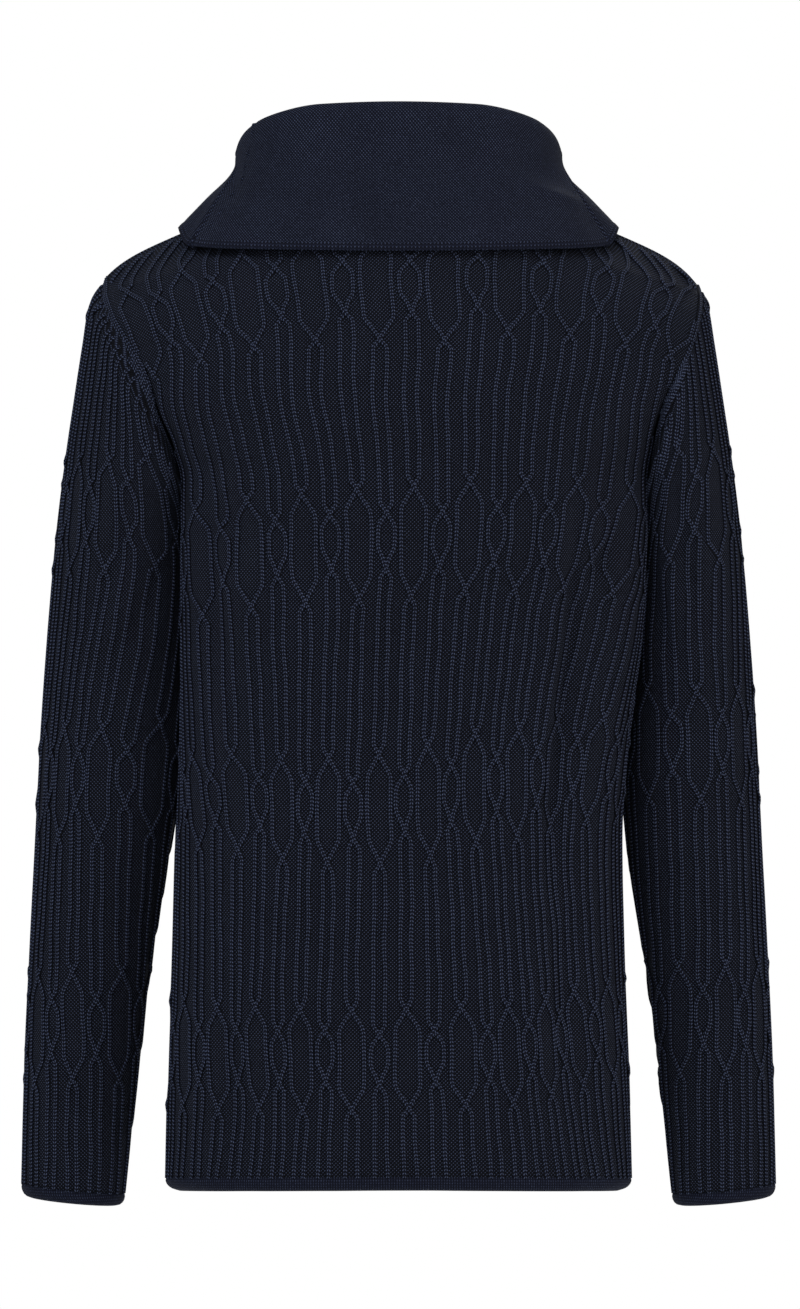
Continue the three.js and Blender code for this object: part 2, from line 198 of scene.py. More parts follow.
FRONT_SECTIONS = table(SECTION_COLUMNS, [
    [-676, -673, 162.5, 162.5, -12, 106, 90],
    [-606, -604, 161.0, 160.8, -12, 110, 90],
    [-527, -527, 158.0, 157.8, -12, 110, 90],
    [-437, -437, 155.5, 156.0, -12, 104, 90],
    [-385, -385, 153.0, 159.0, -12, 99, 90],
    [-300, -300, 152.0, 169.5, -12, 107, 90],
    [-240, -240, 152.0, 174.0, -12, 118, 90],
    [-190, -190, 152.0, 174.5, -12, 122, 90],
    [-164, -165, 156.0, 176.0, 16, 119, 84],
    [-139, -140, 164.0, 180.0, 34, 112, 74],
    [-117, -114, 171.0, 190.0, 38, 103, 64],
    [-97, -91, 185.0, 201.0, 32, 93, 58],
    [-79, -72, 197.0, 207.5, 21, 82, 54],
    [-62, -57, 203.5, 210.5, 7, 72, 52],
])
UNDERARM = 7  # the section where the side seam ends and the armhole begins
TOP_ROW = 14  # the neckline and shoulder seams, one row past the tables
SECTION_ROUNDNESS = 0.88  # a section's power: 1 is an ellipse, and less is squarer
OPEN_TURN, FULL_TURN = 50, 90  # degrees; a section is an ellipse up to the first and squarer at the second
EDGE_RISE = 1.6  # the power by which a section rises or falls from its middle to its edge
NECK_HALF_WIDTH, NECK_Y, NECK_POINT_Z = 104, -10, 8  # where the neckline meets the shoulder seams
SHOULDER_DROP, SHOULDER_ROUNDING = 43, 8  # how far a shoulder falls, and how much more at its tip
SHOULDER_TIP = {"left": 205, "right": 210.5, "y": -8}
BACK = {"rows": BACK_SECTIONS, "neck_z": -4, "neck_y": -62, "outwards": -1}
FRONT = {"rows": FRONT_SECTIONS, "neck_z": -46, "neck_y": 60, "outwards": 1}


# %% From sections to a panel
def top_edge(panel, x):
    """The neckline and shoulder seams: the panel's top edge at a distance x from the middle."""
    hollow = 1 - np.minimum(1, np.abs(x) / NECK_HALF_WIDTH) ** 2
    run = np.maximum(0, np.abs(x) - NECK_HALF_WIDTH) / (SHOULDER_TIP["left"] - NECK_HALF_WIDTH)
    y = mix(NECK_Y, panel["neck_y"], np.sqrt(hollow)) + (SHOULDER_TIP["y"] - NECK_Y) * run
    z = mix(NECK_POINT_Z, panel["neck_z"], hollow) - SHOULDER_DROP * run - SHOULDER_ROUNDING * run**8
    return np.stack([x, y, z], axis=-1)


def section_points(panel, at, across):
    """Points of the body's sections at fractional rows, for shares from -1 (left edge) to 1 (right)."""
    held = np.minimum(at, TOP_ROW - 1)
    row = {name: between(panel["rows"][name], held)[:, None] for name in SECTION_COLUMNS.split()}
    edge = np.radians(row["turn"])
    squarer = np.clip((row["turn"] - OPEN_TURN) / (FULL_TURN - OPEN_TURN), 0, 1)
    power = mix(1, SECTION_ROUNDNESS, squarer)
    turned = edge * np.abs(across)
    level = np.maximum(np.cos(turned), 0) ** power
    rounding = (1 - level) / (1 - np.maximum(np.cos(edge), 0) ** power)
    out = (np.sin(turned) / np.sin(edge)) ** power
    x = np.sign(across) * out * np.where(across < 0, row["left"], row["right"])
    y = mix(row["mid_y"], row["edge_y"], rounding)
    z = mix(row["mid_z"], row["edge_z"], np.abs(across) ** EDGE_RISE)
    tip = np.where(across < 0, SHOULDER_TIP["left"], SHOULDER_TIP["right"])
    top = top_edge(panel, np.sign(across) * out * tip)
    lift = np.clip(at - TOP_ROW + 1, 0, 1)[:, None, None]
    return mix(np.stack([x, y, z], axis=-1), top, lift)


def spread(points, shares):
    """Points at the given shares of the length of each row."""
    made = []
    for row in points:
        reach = np.concatenate([[0], np.cumsum(np.linalg.norm(np.diff(row, axis=0), axis=1))])
        at = shares * reach[-1]
        made.append(np.stack([np.interp(at, reach, values) for values in row.T], axis=-1))
    return np.array(made)


PANEL_ROWS, PANEL_POINTS = 281, 201


def body_panel(panel):
    """A panel's outer face. Its courses follow the heights of its middle line up to the neck."""
    at = np.linspace(0, TOP_ROW, PANEL_ROWS)
    line = section_points(panel, at, np.linspace(-1, 1, 2 * PANEL_POINTS - 1))
    points = spread(line, np.linspace(0, 1, PANEL_POINTS))
    heights = panel["rows"]["mid_z"]
    course = between(heights, np.minimum(at, TOP_ROW - 1))
    course = course + np.maximum(at - TOP_ROW + 1, 0) * (panel["neck_z"] - heights[-1])
    if panel is FRONT:
        points = points[:, ::-1]
    x = points[0, :, 0] * panel["outwards"] * -1
    middle = np.interp(0, x, np.linspace(0, 1, PANEL_POINTS))
    return Cloth(points, middle, np.repeat(course[:, None], PANEL_POINTS, axis=1))


back, front = body_panel(BACK), body_panel(FRONT)
print("back panel across its middle and its hem:", back.width_at(0.5).round(), back.width[0].round(), "mm")

# %% [markdown]
# ## Folds
#
# Worn cloth hangs in a few long soft folds: under the arms, where the sleeves pull, and down the sides.
# Each one here is a trough (depth below 0) or a ridge along a line of two ends, with its own width and
# its own bow to one side, and it fades in and out along its length. They are placed one by one, none like
# another. Distances across are measured along the cloth from the panel's middle, and heights are those
# of the knitting there.

# %% Fold tables
FOLD_COLUMNS = "across_0 z_0 across_1 z_1 depth width bow"
BACK_FOLDS = table(FOLD_COLUMNS, [
    [152, -150, 124, -420, -4, 12, 6],
    [122, -178, 110, -500, -8, 7.5, 2],
    [101, -190, 92, -480, 1.6, 9, 0],
    [178, -190, 150, -480, 3, 14, 0],
    [122, -420, 124, -640, -5, 13, 0],
    [86, -440, 92, -620, 3, 13, 0],
    [98, -330, 70, -610, -3, 12, -5],
    [-158, -165, -136, -330, -5, 10, 4],
    [-128, -520, -110, -680, -3, 15, 0],
    [-60, -560, -40, -675, 1.8, 14, 0],
    [136, -590, 146, -676, -2.5, 10, 0],
    [172, -205, 120, -262, -4.5, 9, -5],
    [-150, -188, -112, -232, -3, 8, 4],
    [20, -600, 26, -676, -1.5, 16, 0],
])
FRONT_FOLDS = table(FOLD_COLUMNS, [
    [-150, -160, -112, -430, -5, 13, 5],
    [156, -165, 122, -400, -6, 12, -6],
    [60, -420, 84, -640, -4, 16, 4],
    [-90, -520, -110, -670, -3, 14, 0],
    [-40, -330, -66, -520, -2.4, 15, -5],
    [120, -600, 130, -676, 3, 14, 0],
    [-175, -205, -120, -268, -4, 9, 5],
    [170, -200, 126, -250, -4, 9, -4],
])


FADE_POWER = 0.8  # below 1 a fold stays deep for longer along its length before it fades


def fold_depths(folds, across, course):
    """How far the folds move the cloth out (above 0) or in, at each distance across and each course."""
    moved = np.zeros_like(across)
    for across_0, z_0, across_1, z_1, depth, width, bow in zip(*folds.values()):
        run = np.array([across_1 - across_0, z_1 - z_0])
        length = np.hypot(*run)
        run = run / length
        t = ((across - across_0) * run[0] + (course - z_0) * run[1]) / length
        inside = np.clip(t, 0, 1)
        fade = np.sin(np.pi * inside) ** FADE_POWER
        away = (across - across_0) * run[1] - (course - z_0) * run[0] - bow * fade
        moved += depth * fade * np.exp(-((away / width) ** 2))
    return moved


def fold(cloth, folds):
    """Moves a piece's surface by its folds."""
    moved = fold_depths(folds, cloth.across, cloth.course)
    cloth.shape_to(cloth.points + cloth.normals * moved[..., None])


fold(back, BACK_FOLDS)
fold(front, FRONT_FOLDS)
print(len(BACK_FOLDS["depth"]), "folds on the back and", len(FRONT_FOLDS["depth"]), "on the front")

# %% [markdown]
# ## The sleeves
#
# A sleeve is knitted flat and joined under the arm, so its surface is a grid that closes on itself
# there. The rings run from the armhole to the wrist: outer is the shoulder side of a ring, inner the
# underarm side, and clear is how far the inner edge lies outside the line of the body's side. Down to
# the elbow it is a little below 0, because the arm hangs against the body and the cloth is pressed there.

# %% The sleeves' rings
SLEEVE_RINGS = table("outer_x outer_z inner_z clear y depth", [
    [216.0, -64, -197, -4.8, -4, 63],
    [221.0, -92, -203, -4.0, 2, 66],
    [226.6, -126, -214, -3.4, 9, 67],
    [233.5, -170, -236, -3.8, 17, 66],
    [240.7, -226, -270, -3.6, 26, 62],
    [247.5, -300, -328, -3.4, 34, 58],
    [252.2, -366, -384, -2.0, 38, 55],
    [256.0, -440, -450, 5.6, 40, 51],
    [260.0, -515, -518, 15.0, 43, 46],
    [264.0, -595, -598, 22.0, 48, 40],
    [266.6, -682, -689, 31.2, 54, 35],
])
SLEEVE_ROWS, SLEEVE_POINTS = 241, 145
ARMHOLE_POINTS = 60


def armhole_line(panel, side, shares):
    """One edge of a panel, from the shoulder tip to the underarm, at shares of its length."""
    at = np.linspace(TOP_ROW, UNDERARM, ARMHOLE_POINTS)
    edge = section_points(panel, at, np.array([-1.0, 1.0]))[:, 0 if side < 0 else 1]
    return spread([edge], shares)[0]


def sleeve_rings(side, turns, drop=0.0, shrink=0.0):
    """The sleeve's rings. A turn is 0 at the shoulder side, a quarter at the back and a half underneath."""
    ring = {name: values[:, None] for name, values in SLEEVE_RINGS.items()}
    column = "left" if side < 0 else "right"
    body = np.interp(ring["inner_z"], BACK_SECTIONS["mid_z"], BACK_SECTIONS[column])
    inner_x = body + ring["clear"]
    reach_x, reach_z = (ring["outer_x"] - inner_x) / 2, (ring["outer_z"] - ring["inner_z"]) / 2
    keep = 1 - shrink / np.hypot(reach_x, reach_z)
    x = (ring["outer_x"] + inner_x) / 2 + reach_x * keep * np.cos(turns)
    y = ring["y"] - (ring["depth"] - shrink) * np.sin(turns)
    z = (ring["outer_z"] + ring["inner_z"]) / 2 + reach_z * keep * np.cos(turns) - drop
    return np.stack([side * x, y, z], axis=-1)


def sleeve(side):
    """A sleeve's outer face, from the armhole seam to the wrist."""
    turns = np.radians(np.linspace(-180, 180, SLEEVE_POINTS))
    rings = sleeve_rings(side, turns)
    shares = np.abs(turns) / np.pi
    on_front, on_back = (armhole_line(panel, side, shares) for panel in (FRONT, BACK))
    seam = np.where((turns < 0)[:, None], on_front, on_back)
    rows = between(np.concatenate([seam[None], rings]), np.linspace(0, len(rings), SLEEVE_ROWS))
    points = spread(rows, np.linspace(0, 1, SLEEVE_POINTS))
    points = points[:, ::-1] if side < 0 else points
    return Cloth(points, 0.5, points[..., 2].copy(), closed=True)


sleeve_left, sleeve_right = sleeve(-1), sleeve(1)
print("left sleeve, round the armhole and the wrist:", sleeve_left.width[[0, -1]].round(), "mm")

# %% [markdown]
# A sleeve creases most where it leaves the body, in short folds that slant down and round the arm.
# Further away its folds are fewer and shallower.

# %% Folds of the sleeves
LEFT_SLEEVE_FOLDS = table(FOLD_COLUMNS, [
    [-100, -190, -60, -300, -4, 9, 5],
    [-128, -240, -70, -330, -4, 10, 5],
    [-40, -560, -70, -640, -2, 9, 3],
    [60, -300, 40, -460, -2, 12, 0],
    [100, -230, 60, -330, -4, 10, 0],
])
RIGHT_SLEEVE_FOLDS = table(FOLD_COLUMNS, [
    [100, -190, 62, -310, -4, 9, -5],
    [128, -240, 74, -340, -3.5, 10, -5],
    [44, -520, 66, -640, -2, 9, 3],
    [-60, -300, -44, -460, -2, 12, 0],
    [-100, -230, -60, -330, -4, 10, 0],
])
fold(sleeve_left, LEFT_SLEEVE_FOLDS)
fold(sleeve_right, RIGHT_SLEEVE_FOLDS)

# %% [markdown]
# ## From a surface to a mesh
#
# A sheet starts as Blender's own flat grid. Each of its points already says where it belongs, across
# and along, so it is moved to that place on the cloth, and the same two numbers in millimetres become
# its UV map, which the stitches follow. Solidify gives the sheet its real thickness afterwards.


# %% Sheets of cloth
def write_points(mesh, points):
    mesh.vertices.foreach_set("co", (np.asarray(points, float) * MM).astype(np.float32).ravel())
    mesh.update()


def read_points(mesh):
    flat = np.zeros(len(mesh.vertices) * 3, np.float32)
    mesh.vertices.foreach_get("co", flat)
    return flat.reshape(-1, 3).astype(float)


def loop_vertices(mesh):
    corners = np.zeros(len(mesh.loops), np.int32)
    mesh.loops.foreach_get("vertex_index", corners)
    return corners


def write_stitches(mesh, across, along):
    """The UV map that the knitting follows, in millimetres across and along, given for each vertex."""
    corners = loop_vertices(mesh)
    uv = np.stack([across[corners], along[corners]], axis=-1).astype(np.float32)
    mesh.uv_layers["stitches"].data.foreach_set("uv", uv.ravel())


def add_object(name, mesh, material, slot, *nodes):
    """Puts a mesh in the scene as a smooth piece of one finish. It stands for the solids named, if any."""
    made = bpy.data.objects.new(name, mesh)
    bpy.context.scene.collection.objects.link(made)
    mesh.materials.append(material)
    mesh.polygons.foreach_set("use_smooth", [True] * len(mesh.polygons))
    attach(made, "root")
    if nodes:
        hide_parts(*nodes)
    print(f"{name}: {len(mesh.polygons)} faces")
    return made


JOIN_WITHIN = 0.01  # millimetres between two points that are one


def joined(mesh):
    """The mesh as a bmesh with its meeting edges joined: the points that they share are merged."""
    bm = bmesh.new()
    bm.from_mesh(mesh)
    bmesh.ops.remove_doubles(bm, verts=bm.verts, dist=JOIN_WITHIN * MM)
    return bm


def sheet_mesh(name, cloth, cell, lift):
    """A sheet on the cloth, lift(u, v) millimetres above its face, in squares of about one cell."""
    columns = int(cloth.width.max() / cell)
    rows = int(cloth.along[-1].max() / cell)
    bm = bmesh.new()
    bm.loops.layers.uv.new("stitches")
    bmesh.ops.create_grid(bm, x_segments=columns, y_segments=rows, size=1)
    mesh = bpy.data.meshes.new(name)
    bm.to_mesh(mesh)
    bm.free()
    grid = read_points(mesh)
    u, v = (grid[:, 0] + 1) / 2, (grid[:, 1] + 1) / 2
    rows_apart = np.repeat(cloth.along.mean(axis=1, keepdims=True), cloth.points.shape[1], axis=1)
    courses = cloth.course if cloth.closed else rows_apart
    write_stitches(mesh, cloth.read(cloth.across, u, v), cloth.read(courses, u, v))
    write_points(mesh, cloth.place(u, v, lift(u, v)))
    if cloth.closed:
        bm = joined(mesh)
        bm.to_mesh(mesh)
        bm.free()
    return mesh


def thicken(piece, thickness):
    """Gives a sheet its thickness, inwards from the face that it was laid on."""
    wall = piece.modifiers.new("cloth thickness", "SOLIDIFY")
    wall.thickness = thickness * MM
    wall.offset = -1


# %% [markdown]
# ## Finishes
#
# All of it is one dyed yarn, a fine matt navy cotton. A knit is rough and dark: it drinks light in the
# gaps between its stitches and gives a little back from the loops that stand up. So each finish first
# works out how high the yarn stands at a point, and that height then gives both the bump and the colour:
# painted shade in the gaps and a painted highlight on the loops.


# %% Material helpers
def colour(code):
    """An sRGB hex colour as the linear values that Blender's sockets take."""
    parts = [int(code[i:i + 2], 16) / 255 for i in (1, 3, 5)]
    return [p / 12.92 if p <= 0.04045 else ((p + 0.055) / 1.055) ** 2.4 for p in parts] + [1]


def add_node(tree, kind, inputs=None, **settings):
    """Adds a node. Settings are its own properties, and each input is a value or another node's output."""
    node = tree.nodes.new(kind)
    for name, value in settings.items():
        setattr(node, name, value)
    for name, value in (inputs or {}).items():
        if isinstance(value, bpy.types.Node):
            value = value.outputs[0]
        if isinstance(value, bpy.types.NodeSocket):
            tree.links.new(value, node.inputs[name])
        else:
            node.inputs[name].default_value = value
    return node


def new_material(name):
    """An empty material, and add_node for its own tree."""
    material = bpy.data.materials.new(name)
    material.use_nodes = True
    material.node_tree.nodes.clear()
    return material, functools.partial(add_node, material.node_tree)


def set_stops(ramp, stops):
    """Puts a colour ramp's stops at their places."""
    elements = ramp.color_ramp.elements
    while len(elements) < len(stops):
        elements.new(0.5)
    for element, (place, shade) in zip(elements, stops):
        element.position = place
        element.color = shade


# %% The yarn
# From the bottom of a stitch to its top: painted shade in the gaps, the yarn's navy, and a painted
# highlight on the loops. The yarn's own fuzz and an uneven dye shift these a little.
NAVY_PAINTED_SHADE_TO_HIGHLIGHT = [(0.12, "#02030a"), (0.44, "#080b1b"), (0.70, "#161b2e"), (1.0, "#58637e")]
CLOUDY, FUZZ = 0.14, 0.40  # the clouds of the dye are about 40 mm wide, and the fuzz about 1.2 mm


def end_knit(add, height, relief):
    """Ends a knit: the height of its yarn gives the bump, with relief in millimetres, and a colour with
    painted shade low down and a painted highlight on top.
    """
    place = add("ShaderNodeTexCoord").outputs["Object"]
    clouds = add("ShaderNodeTexNoise", {"Vector": place, "Scale": 26.0, "Detail": 4.0, "Roughness": 0.6})
    fibres = add("ShaderNodeTexNoise", {"Vector": place, "Scale": 850.0, "Detail": 2.0})
    uneven = add("ShaderNodeMath", {0: clouds, 1: CLOUDY, 2: -CLOUDY / 2}, operation="MULTIPLY_ADD")
    fuzzy = add("ShaderNodeMath", {0: fibres, 1: FUZZ, 2: -FUZZ / 2}, operation="MULTIPLY_ADD")
    raised = add("ShaderNodeMath", {0: height, 1: fuzzy}, operation="ADD")
    shade = add("ShaderNodeMath", {0: raised, 1: uneven}, operation="ADD")
    # painted light: low yarn gets painted shade and high yarn a painted highlight
    tones_with_painted_light = add("ShaderNodeValToRGB", {"Fac": shade})
    set_stops(tones_with_painted_light, [(stop, colour(code)) for stop, code in NAVY_PAINTED_SHADE_TO_HIGHLIGHT])
    bump = add("ShaderNodeBump", {"Height": raised, "Strength": 1.0, "Distance": relief * MM})
    shader = add("ShaderNodeBsdfPrincipled", {
        "Base Color": tones_with_painted_light, "Normal": bump, "Roughness": 0.86, "IOR": 1.5, "Specular IOR Level": 0.2,
        "Sheen Weight": 0.05, "Sheen Roughness": 0.5, "Sheen Tint": colour("#8f9bb5")})
    add("ShaderNodeOutputMaterial", {"Surface": shader})


def waves(add, vector, period, slope=1.0):
    """Stripes along a line of y = -slope x, one for each period of y. 0 in the gaps and 1 on the tops."""
    # a wave texture turns by 10 radians in each unit of its scale
    turned = add("ShaderNodeMapping", {"Vector": vector, "Scale": (slope, 1, 1)})
    return add("ShaderNodeTexWave", {"Vector": turned, "Scale": 0.2 * math.pi / period, "Distortion": 0.0},
               bands_direction="DIAGONAL")


# %% [markdown]
# Between the ribs the cloth shows the purl side of the knit. Its loops are small bumps in slanting
# rows, half a stitch apart from row to row. Two sets of slanting stripes, one stronger than the other,
# cross to give that lattice of one wale across by one course along.

# %% Purl ground
PURL_STITCH = 2.6  # millimetres between bumps, both ways; the real ones, 1.7 apart, wouldn't show
SLANT_SHARE = 0.40  # how much the weaker stripes count
PURL_GAIN, PURL_START = 1.65, -0.64  # heights below the first stop of NAVY_PAINTED_SHADE_TO_HIGHLIGHT are all in shadow


def purl_side():
    """Rough matt cotton whose lattice is painted: a painted highlight on its bumps and painted shade between
    them.
    """
    material, add = new_material("purl side of navy cotton knit")
    chart = add("ShaderNodeUVMap", uv_map="stitches")
    main = waves(add, chart, PURL_STITCH, -1.0)
    weak = waves(add, chart, PURL_STITCH, 1.0)
    loops = add("ShaderNodeMix", {"Factor": SLANT_SHARE, "A": main, "B": weak})
    height = add("ShaderNodeMath", {0: loops, 1: PURL_GAIN, 2: PURL_START}, operation="MULTIPLY_ADD")
    end_knit(add, height, relief=0.8)
    return material


# %% [markdown]
# A rib is one column of plain stitches: a chain of small V shapes whose legs meet in a groove, with a
# gutter where it rises from the ground; groove and gutter get painted shade and the chains a painted
# highlight. Its UV map runs across the cord and along it, so that the V shapes follow the rib wherever
# it travels.

# %% Rib stitches
RIB_STITCH = 2.5  # millimetres from one V to the next
RIB_REACH = 2.0  # millimetres from the middle of a rib to its foot
# the yarn's height, which also gives painted shade in the groove and the gutter and a painted highlight
# on the chain, from the groove in the middle, at 0, over one chain to the gutter at the foot, at 1
RIB_HEIGHT_AND_SHADE = [(0.0, 0.34), (0.12, 0.66), (0.32, 1.0), (0.62, 0.96), (0.78, 0.45), (0.92, 0.12)]
RIB_SLOPE = 0.8  # how steeply the legs of a V climb
RIB_GAIN, RIB_START = 0.80, 0.28  # between two V shapes a chain keeps RIB_START of its height


def rib_stitches():
    """The same matt cotton, with a painted highlight on the two chains of a rib and painted shade in its
    groove and gutter.
    """
    material, add = new_material("plain stitches of navy cotton rib")
    chart = add("ShaderNodeUVMap", uv_map="stitches")
    halves = add("ShaderNodeVectorMath", {0: chart}, operation="ABSOLUTE")
    across = add("ShaderNodeSeparateXYZ", {"Vector": halves})
    out = add("ShaderNodeMath", {0: across, 1: 1 / RIB_REACH}, operation="MULTIPLY")
    # painted shade: the groove and the gutter come out dark, the chains light
    body = add("ShaderNodeValToRGB", {"Fac": out})
    set_stops(body, [(stop, (tall, tall, tall, 1)) for stop, tall in RIB_HEIGHT_AND_SHADE])
    legs = waves(add, halves, RIB_STITCH, RIB_SLOPE)
    carved = add("ShaderNodeMath", {0: legs, 1: RIB_GAIN, 2: RIB_START}, operation="MULTIPLY_ADD")
    height = add("ShaderNodeMath", {0: body, 1: carved}, operation="MULTIPLY")
    end_knit(add, height, relief=0.9)
    return material


# %% [markdown]
# The collar, the hem and the cuffs are plain knit. Each wale is a column of V shapes, so the distance
# from its middle is folded to and fro before the stripes are drawn. The collar's own stitches, 1.5 mm
# wide, are too fine to show at this size: they read as a slanting grain, and are drawn as one, coarser.


# %% Plain knit
def plain_loops(add, chart, wale, course, slope, groove):
    """The height of a plain knit's yarn: V shapes one wale wide, whose borders lie lower by groove."""
    parts = add("ShaderNodeSeparateXYZ", {"Vector": chart})
    folded = add("ShaderNodeMath", {0: parts.outputs["X"], 1: wale / 2}, operation="PINGPONG")
    place = add("ShaderNodeCombineXYZ", {"X": folded, "Y": parts.outputs["Y"]})
    legs = waves(add, place, course, slope)
    side = add("ShaderNodeMath", {0: folded, 1: 2 * groove / wale}, operation="MULTIPLY")
    return add("ShaderNodeMath", {0: legs, 1: 0.5, 2: side}, operation="MULTIPLY_ADD")


FINE_STITCH = 2.3  # millimetres between two lines of the grain
FINE_SLANT_SHARE = 0.36  # how much the weaker of its two slants counts
FINE_GAIN, FINE_START = 0.84, 0.07  # how much the yarn's height varies, and from where
EDGE_STITCH, EDGE_DEPTH = 2.6, 5.6  # the coarser stitches of the collar's edge, and how far they reach
EDGE_GAIN, EDGE_START = 0.9, 0.14


def collar_knit():
    """A smooth close knit with shallower painted shade between its stitches, so it is evener and a little
    paler than the ribbed cloth.
    """
    material, add = new_material("fine plain knit of navy cotton")
    chart = add("ShaderNodeUVMap", uv_map="stitches")
    main = waves(add, chart, FINE_STITCH, 1.0)
    weak = waves(add, chart, FINE_STITCH, -1.0)
    fine = add("ShaderNodeMix", {"Factor": FINE_SLANT_SHARE, "A": main, "B": weak})
    coarse = plain_loops(add, chart, wale=EDGE_STITCH, course=EDGE_STITCH, slope=1.3, groove=0.3)
    along = add("ShaderNodeSeparateXYZ", {"Vector": chart}).outputs["Y"]
    edge = add("ShaderNodeMath", {0: along, 1: EDGE_DEPTH}, operation="LESS_THAN")
    quiet = add("ShaderNodeMath", {0: fine, 1: FINE_GAIN, 2: FINE_START}, operation="MULTIPLY_ADD")
    plain = add("ShaderNodeMath", {0: coarse, 1: EDGE_GAIN, 2: EDGE_START}, operation="MULTIPLY_ADD")
    height = add("ShaderNodeMix", {"Factor": edge, "A": quiet, "B": plain})
    end_knit(add, height, relief=0.5)
    return material


WELT_WALE, WELT_COURSE = 1.8, 2.0  # millimetres across and along one stitch
WELT_GAIN, WELT_START = 0.46, 0.17


def welt_knit():
    """The welt is knitted tight, so its wales stand close together as fine upright lines."""
    material, add = new_material("tight welt of navy cotton")
    chart = add("ShaderNodeUVMap", uv_map="stitches")
    loops = plain_loops(add, chart, wale=WELT_WALE, course=WELT_COURSE, slope=0.8, groove=1.0)
    height = add("ShaderNodeMath", {0: loops, 1: WELT_GAIN, 2: WELT_START}, operation="MULTIPLY_ADD")
    end_knit(add, height, relief=0.4)
    return material


ground_finish, rib_finish = purl_side(), rib_stitches()
collar_finish, welt_finish = collar_knit(), welt_knit()
print("finishes:", [m.name for m in (ground_finish, rib_finish, collar_finish, welt_finish)])

# %% [markdown]
# ## The ground of the body and the sleeves
#
# The ground lies 0.9 mm under the solid's face, so that the ribs can stand up to it. Towards each seam it
# dips, because a linked seam pulls both edges in.

# %% Ground sheets
GROUND_LIFT, GROUND_WALL = -0.9, 1.5  # millimetres from the solid's face, and of thickness
GROUND_CELL = 4.5  # millimetres along one side of the mesh's squares
SEAM_DIP, SEAM_REACH = 0.4, 2.4  # how deep a seam pulls the cloth in, and how far from it


def ground_lift(cloth, seams):
    """The lift of a piece's ground, dipping at the edges that are seams."""

    def lift(u, v):
        length = cloth.along[-1].max()
        from_sides = np.minimum(u, 1 - u) * cloth.width_at(v)
        near = {"sides": from_sides, "end": (1 - v) * length, "start": v * length}
        dip = np.zeros_like(u)
        for seam in seams:
            dip = np.maximum(dip, np.exp(-((near[seam] / SEAM_REACH) ** 2)))
        return GROUND_LIFT - SEAM_DIP * dip

    return lift


def ground(name, cloth, seams, node):
    """The purl ground of one piece."""
    mesh = sheet_mesh(name, cloth, GROUND_CELL, ground_lift(cloth, seams))
    made = add_object(name, mesh, ground_finish, "ribbed_knit", node)
    thicken(made, GROUND_WALL)
    return made


back_ground = ground("back_ground", back, ["sides", "end"], "back")
front_ground = ground("front_ground", front, ["sides", "end"], "front")
left_ground = ground("sleeve_left_ground", sleeve_left, ["start"], "sleeve_left")
right_ground = ground("sleeve_right_ground", sleeve_right, ["start"], "sleeve_right")

# %% [markdown]
# ## The travelling ribs
#
# The ribs run in pairs, one pair to each column. Down the body every pair crosses over itself, opens,
# and crosses back, in bands. Every other column opens wide into a long hexagon while its neighbours open
# only into a small oval, and in the next band they change places. The two charts give the gap from the
# pair's middle to a rib, as a share of the columns' spacing, at heights above the middle of a band.
# Below 0 the two ribs have changed sides, so each change of sign is a crossing.

# %% The charts
LEGS_APART = 0.21  # the gap where a pair runs plain, as a share of the columns' spacing
WIDE_CHART = table("above apart", [
    [-47.5, 0.21], [-46, 0.19], [-44.8, 0.11], [-43, 0.05], [-41, 0], [-39, -0.05], [-37, -0.10],
    [-35, -0.16], [-26, -0.43], [-23, -0.45], [18, -0.45], [21, -0.43], [29.5, -0.16], [31.5, -0.10],
    [33, -0.05], [35, 0], [37, 0.05], [38.8, 0.11], [40, 0.19], [41.5, 0.21],
])
OVAL_CHART = table("above apart", [
    [-27.5, 0.21], [-26, 0.19], [-24.8, 0.11], [-23, 0.05], [-21, 0], [-19, -0.05], [-16.5, -0.08],
    [-13.5, -0.12], [-11, -0.20], [-8, -0.28], [-4, -0.31], [6, -0.31], [9.5, -0.28], [12, -0.20],
    [14, -0.12], [16, -0.05], [18, 0], [20, 0.05], [21.8, 0.11], [23, 0.19], [24.5, 0.21],
])

# %% [markdown]
# Worn cloth spreads over the chest and the shoulders and gathers at the waist, so the columns are never
# quite parallel. For each piece one table says where the columns run: at a height, the distance along
# the cloth from its middle line for columns spread evenly from -12 to 12. The other table holds the
# bands: which columns open wide there (0 the even ones, 1 the odd ones), how far the shapes are drawn
# out at the left, the middle and the right, and how high the band lies, again from column -12 to 12.

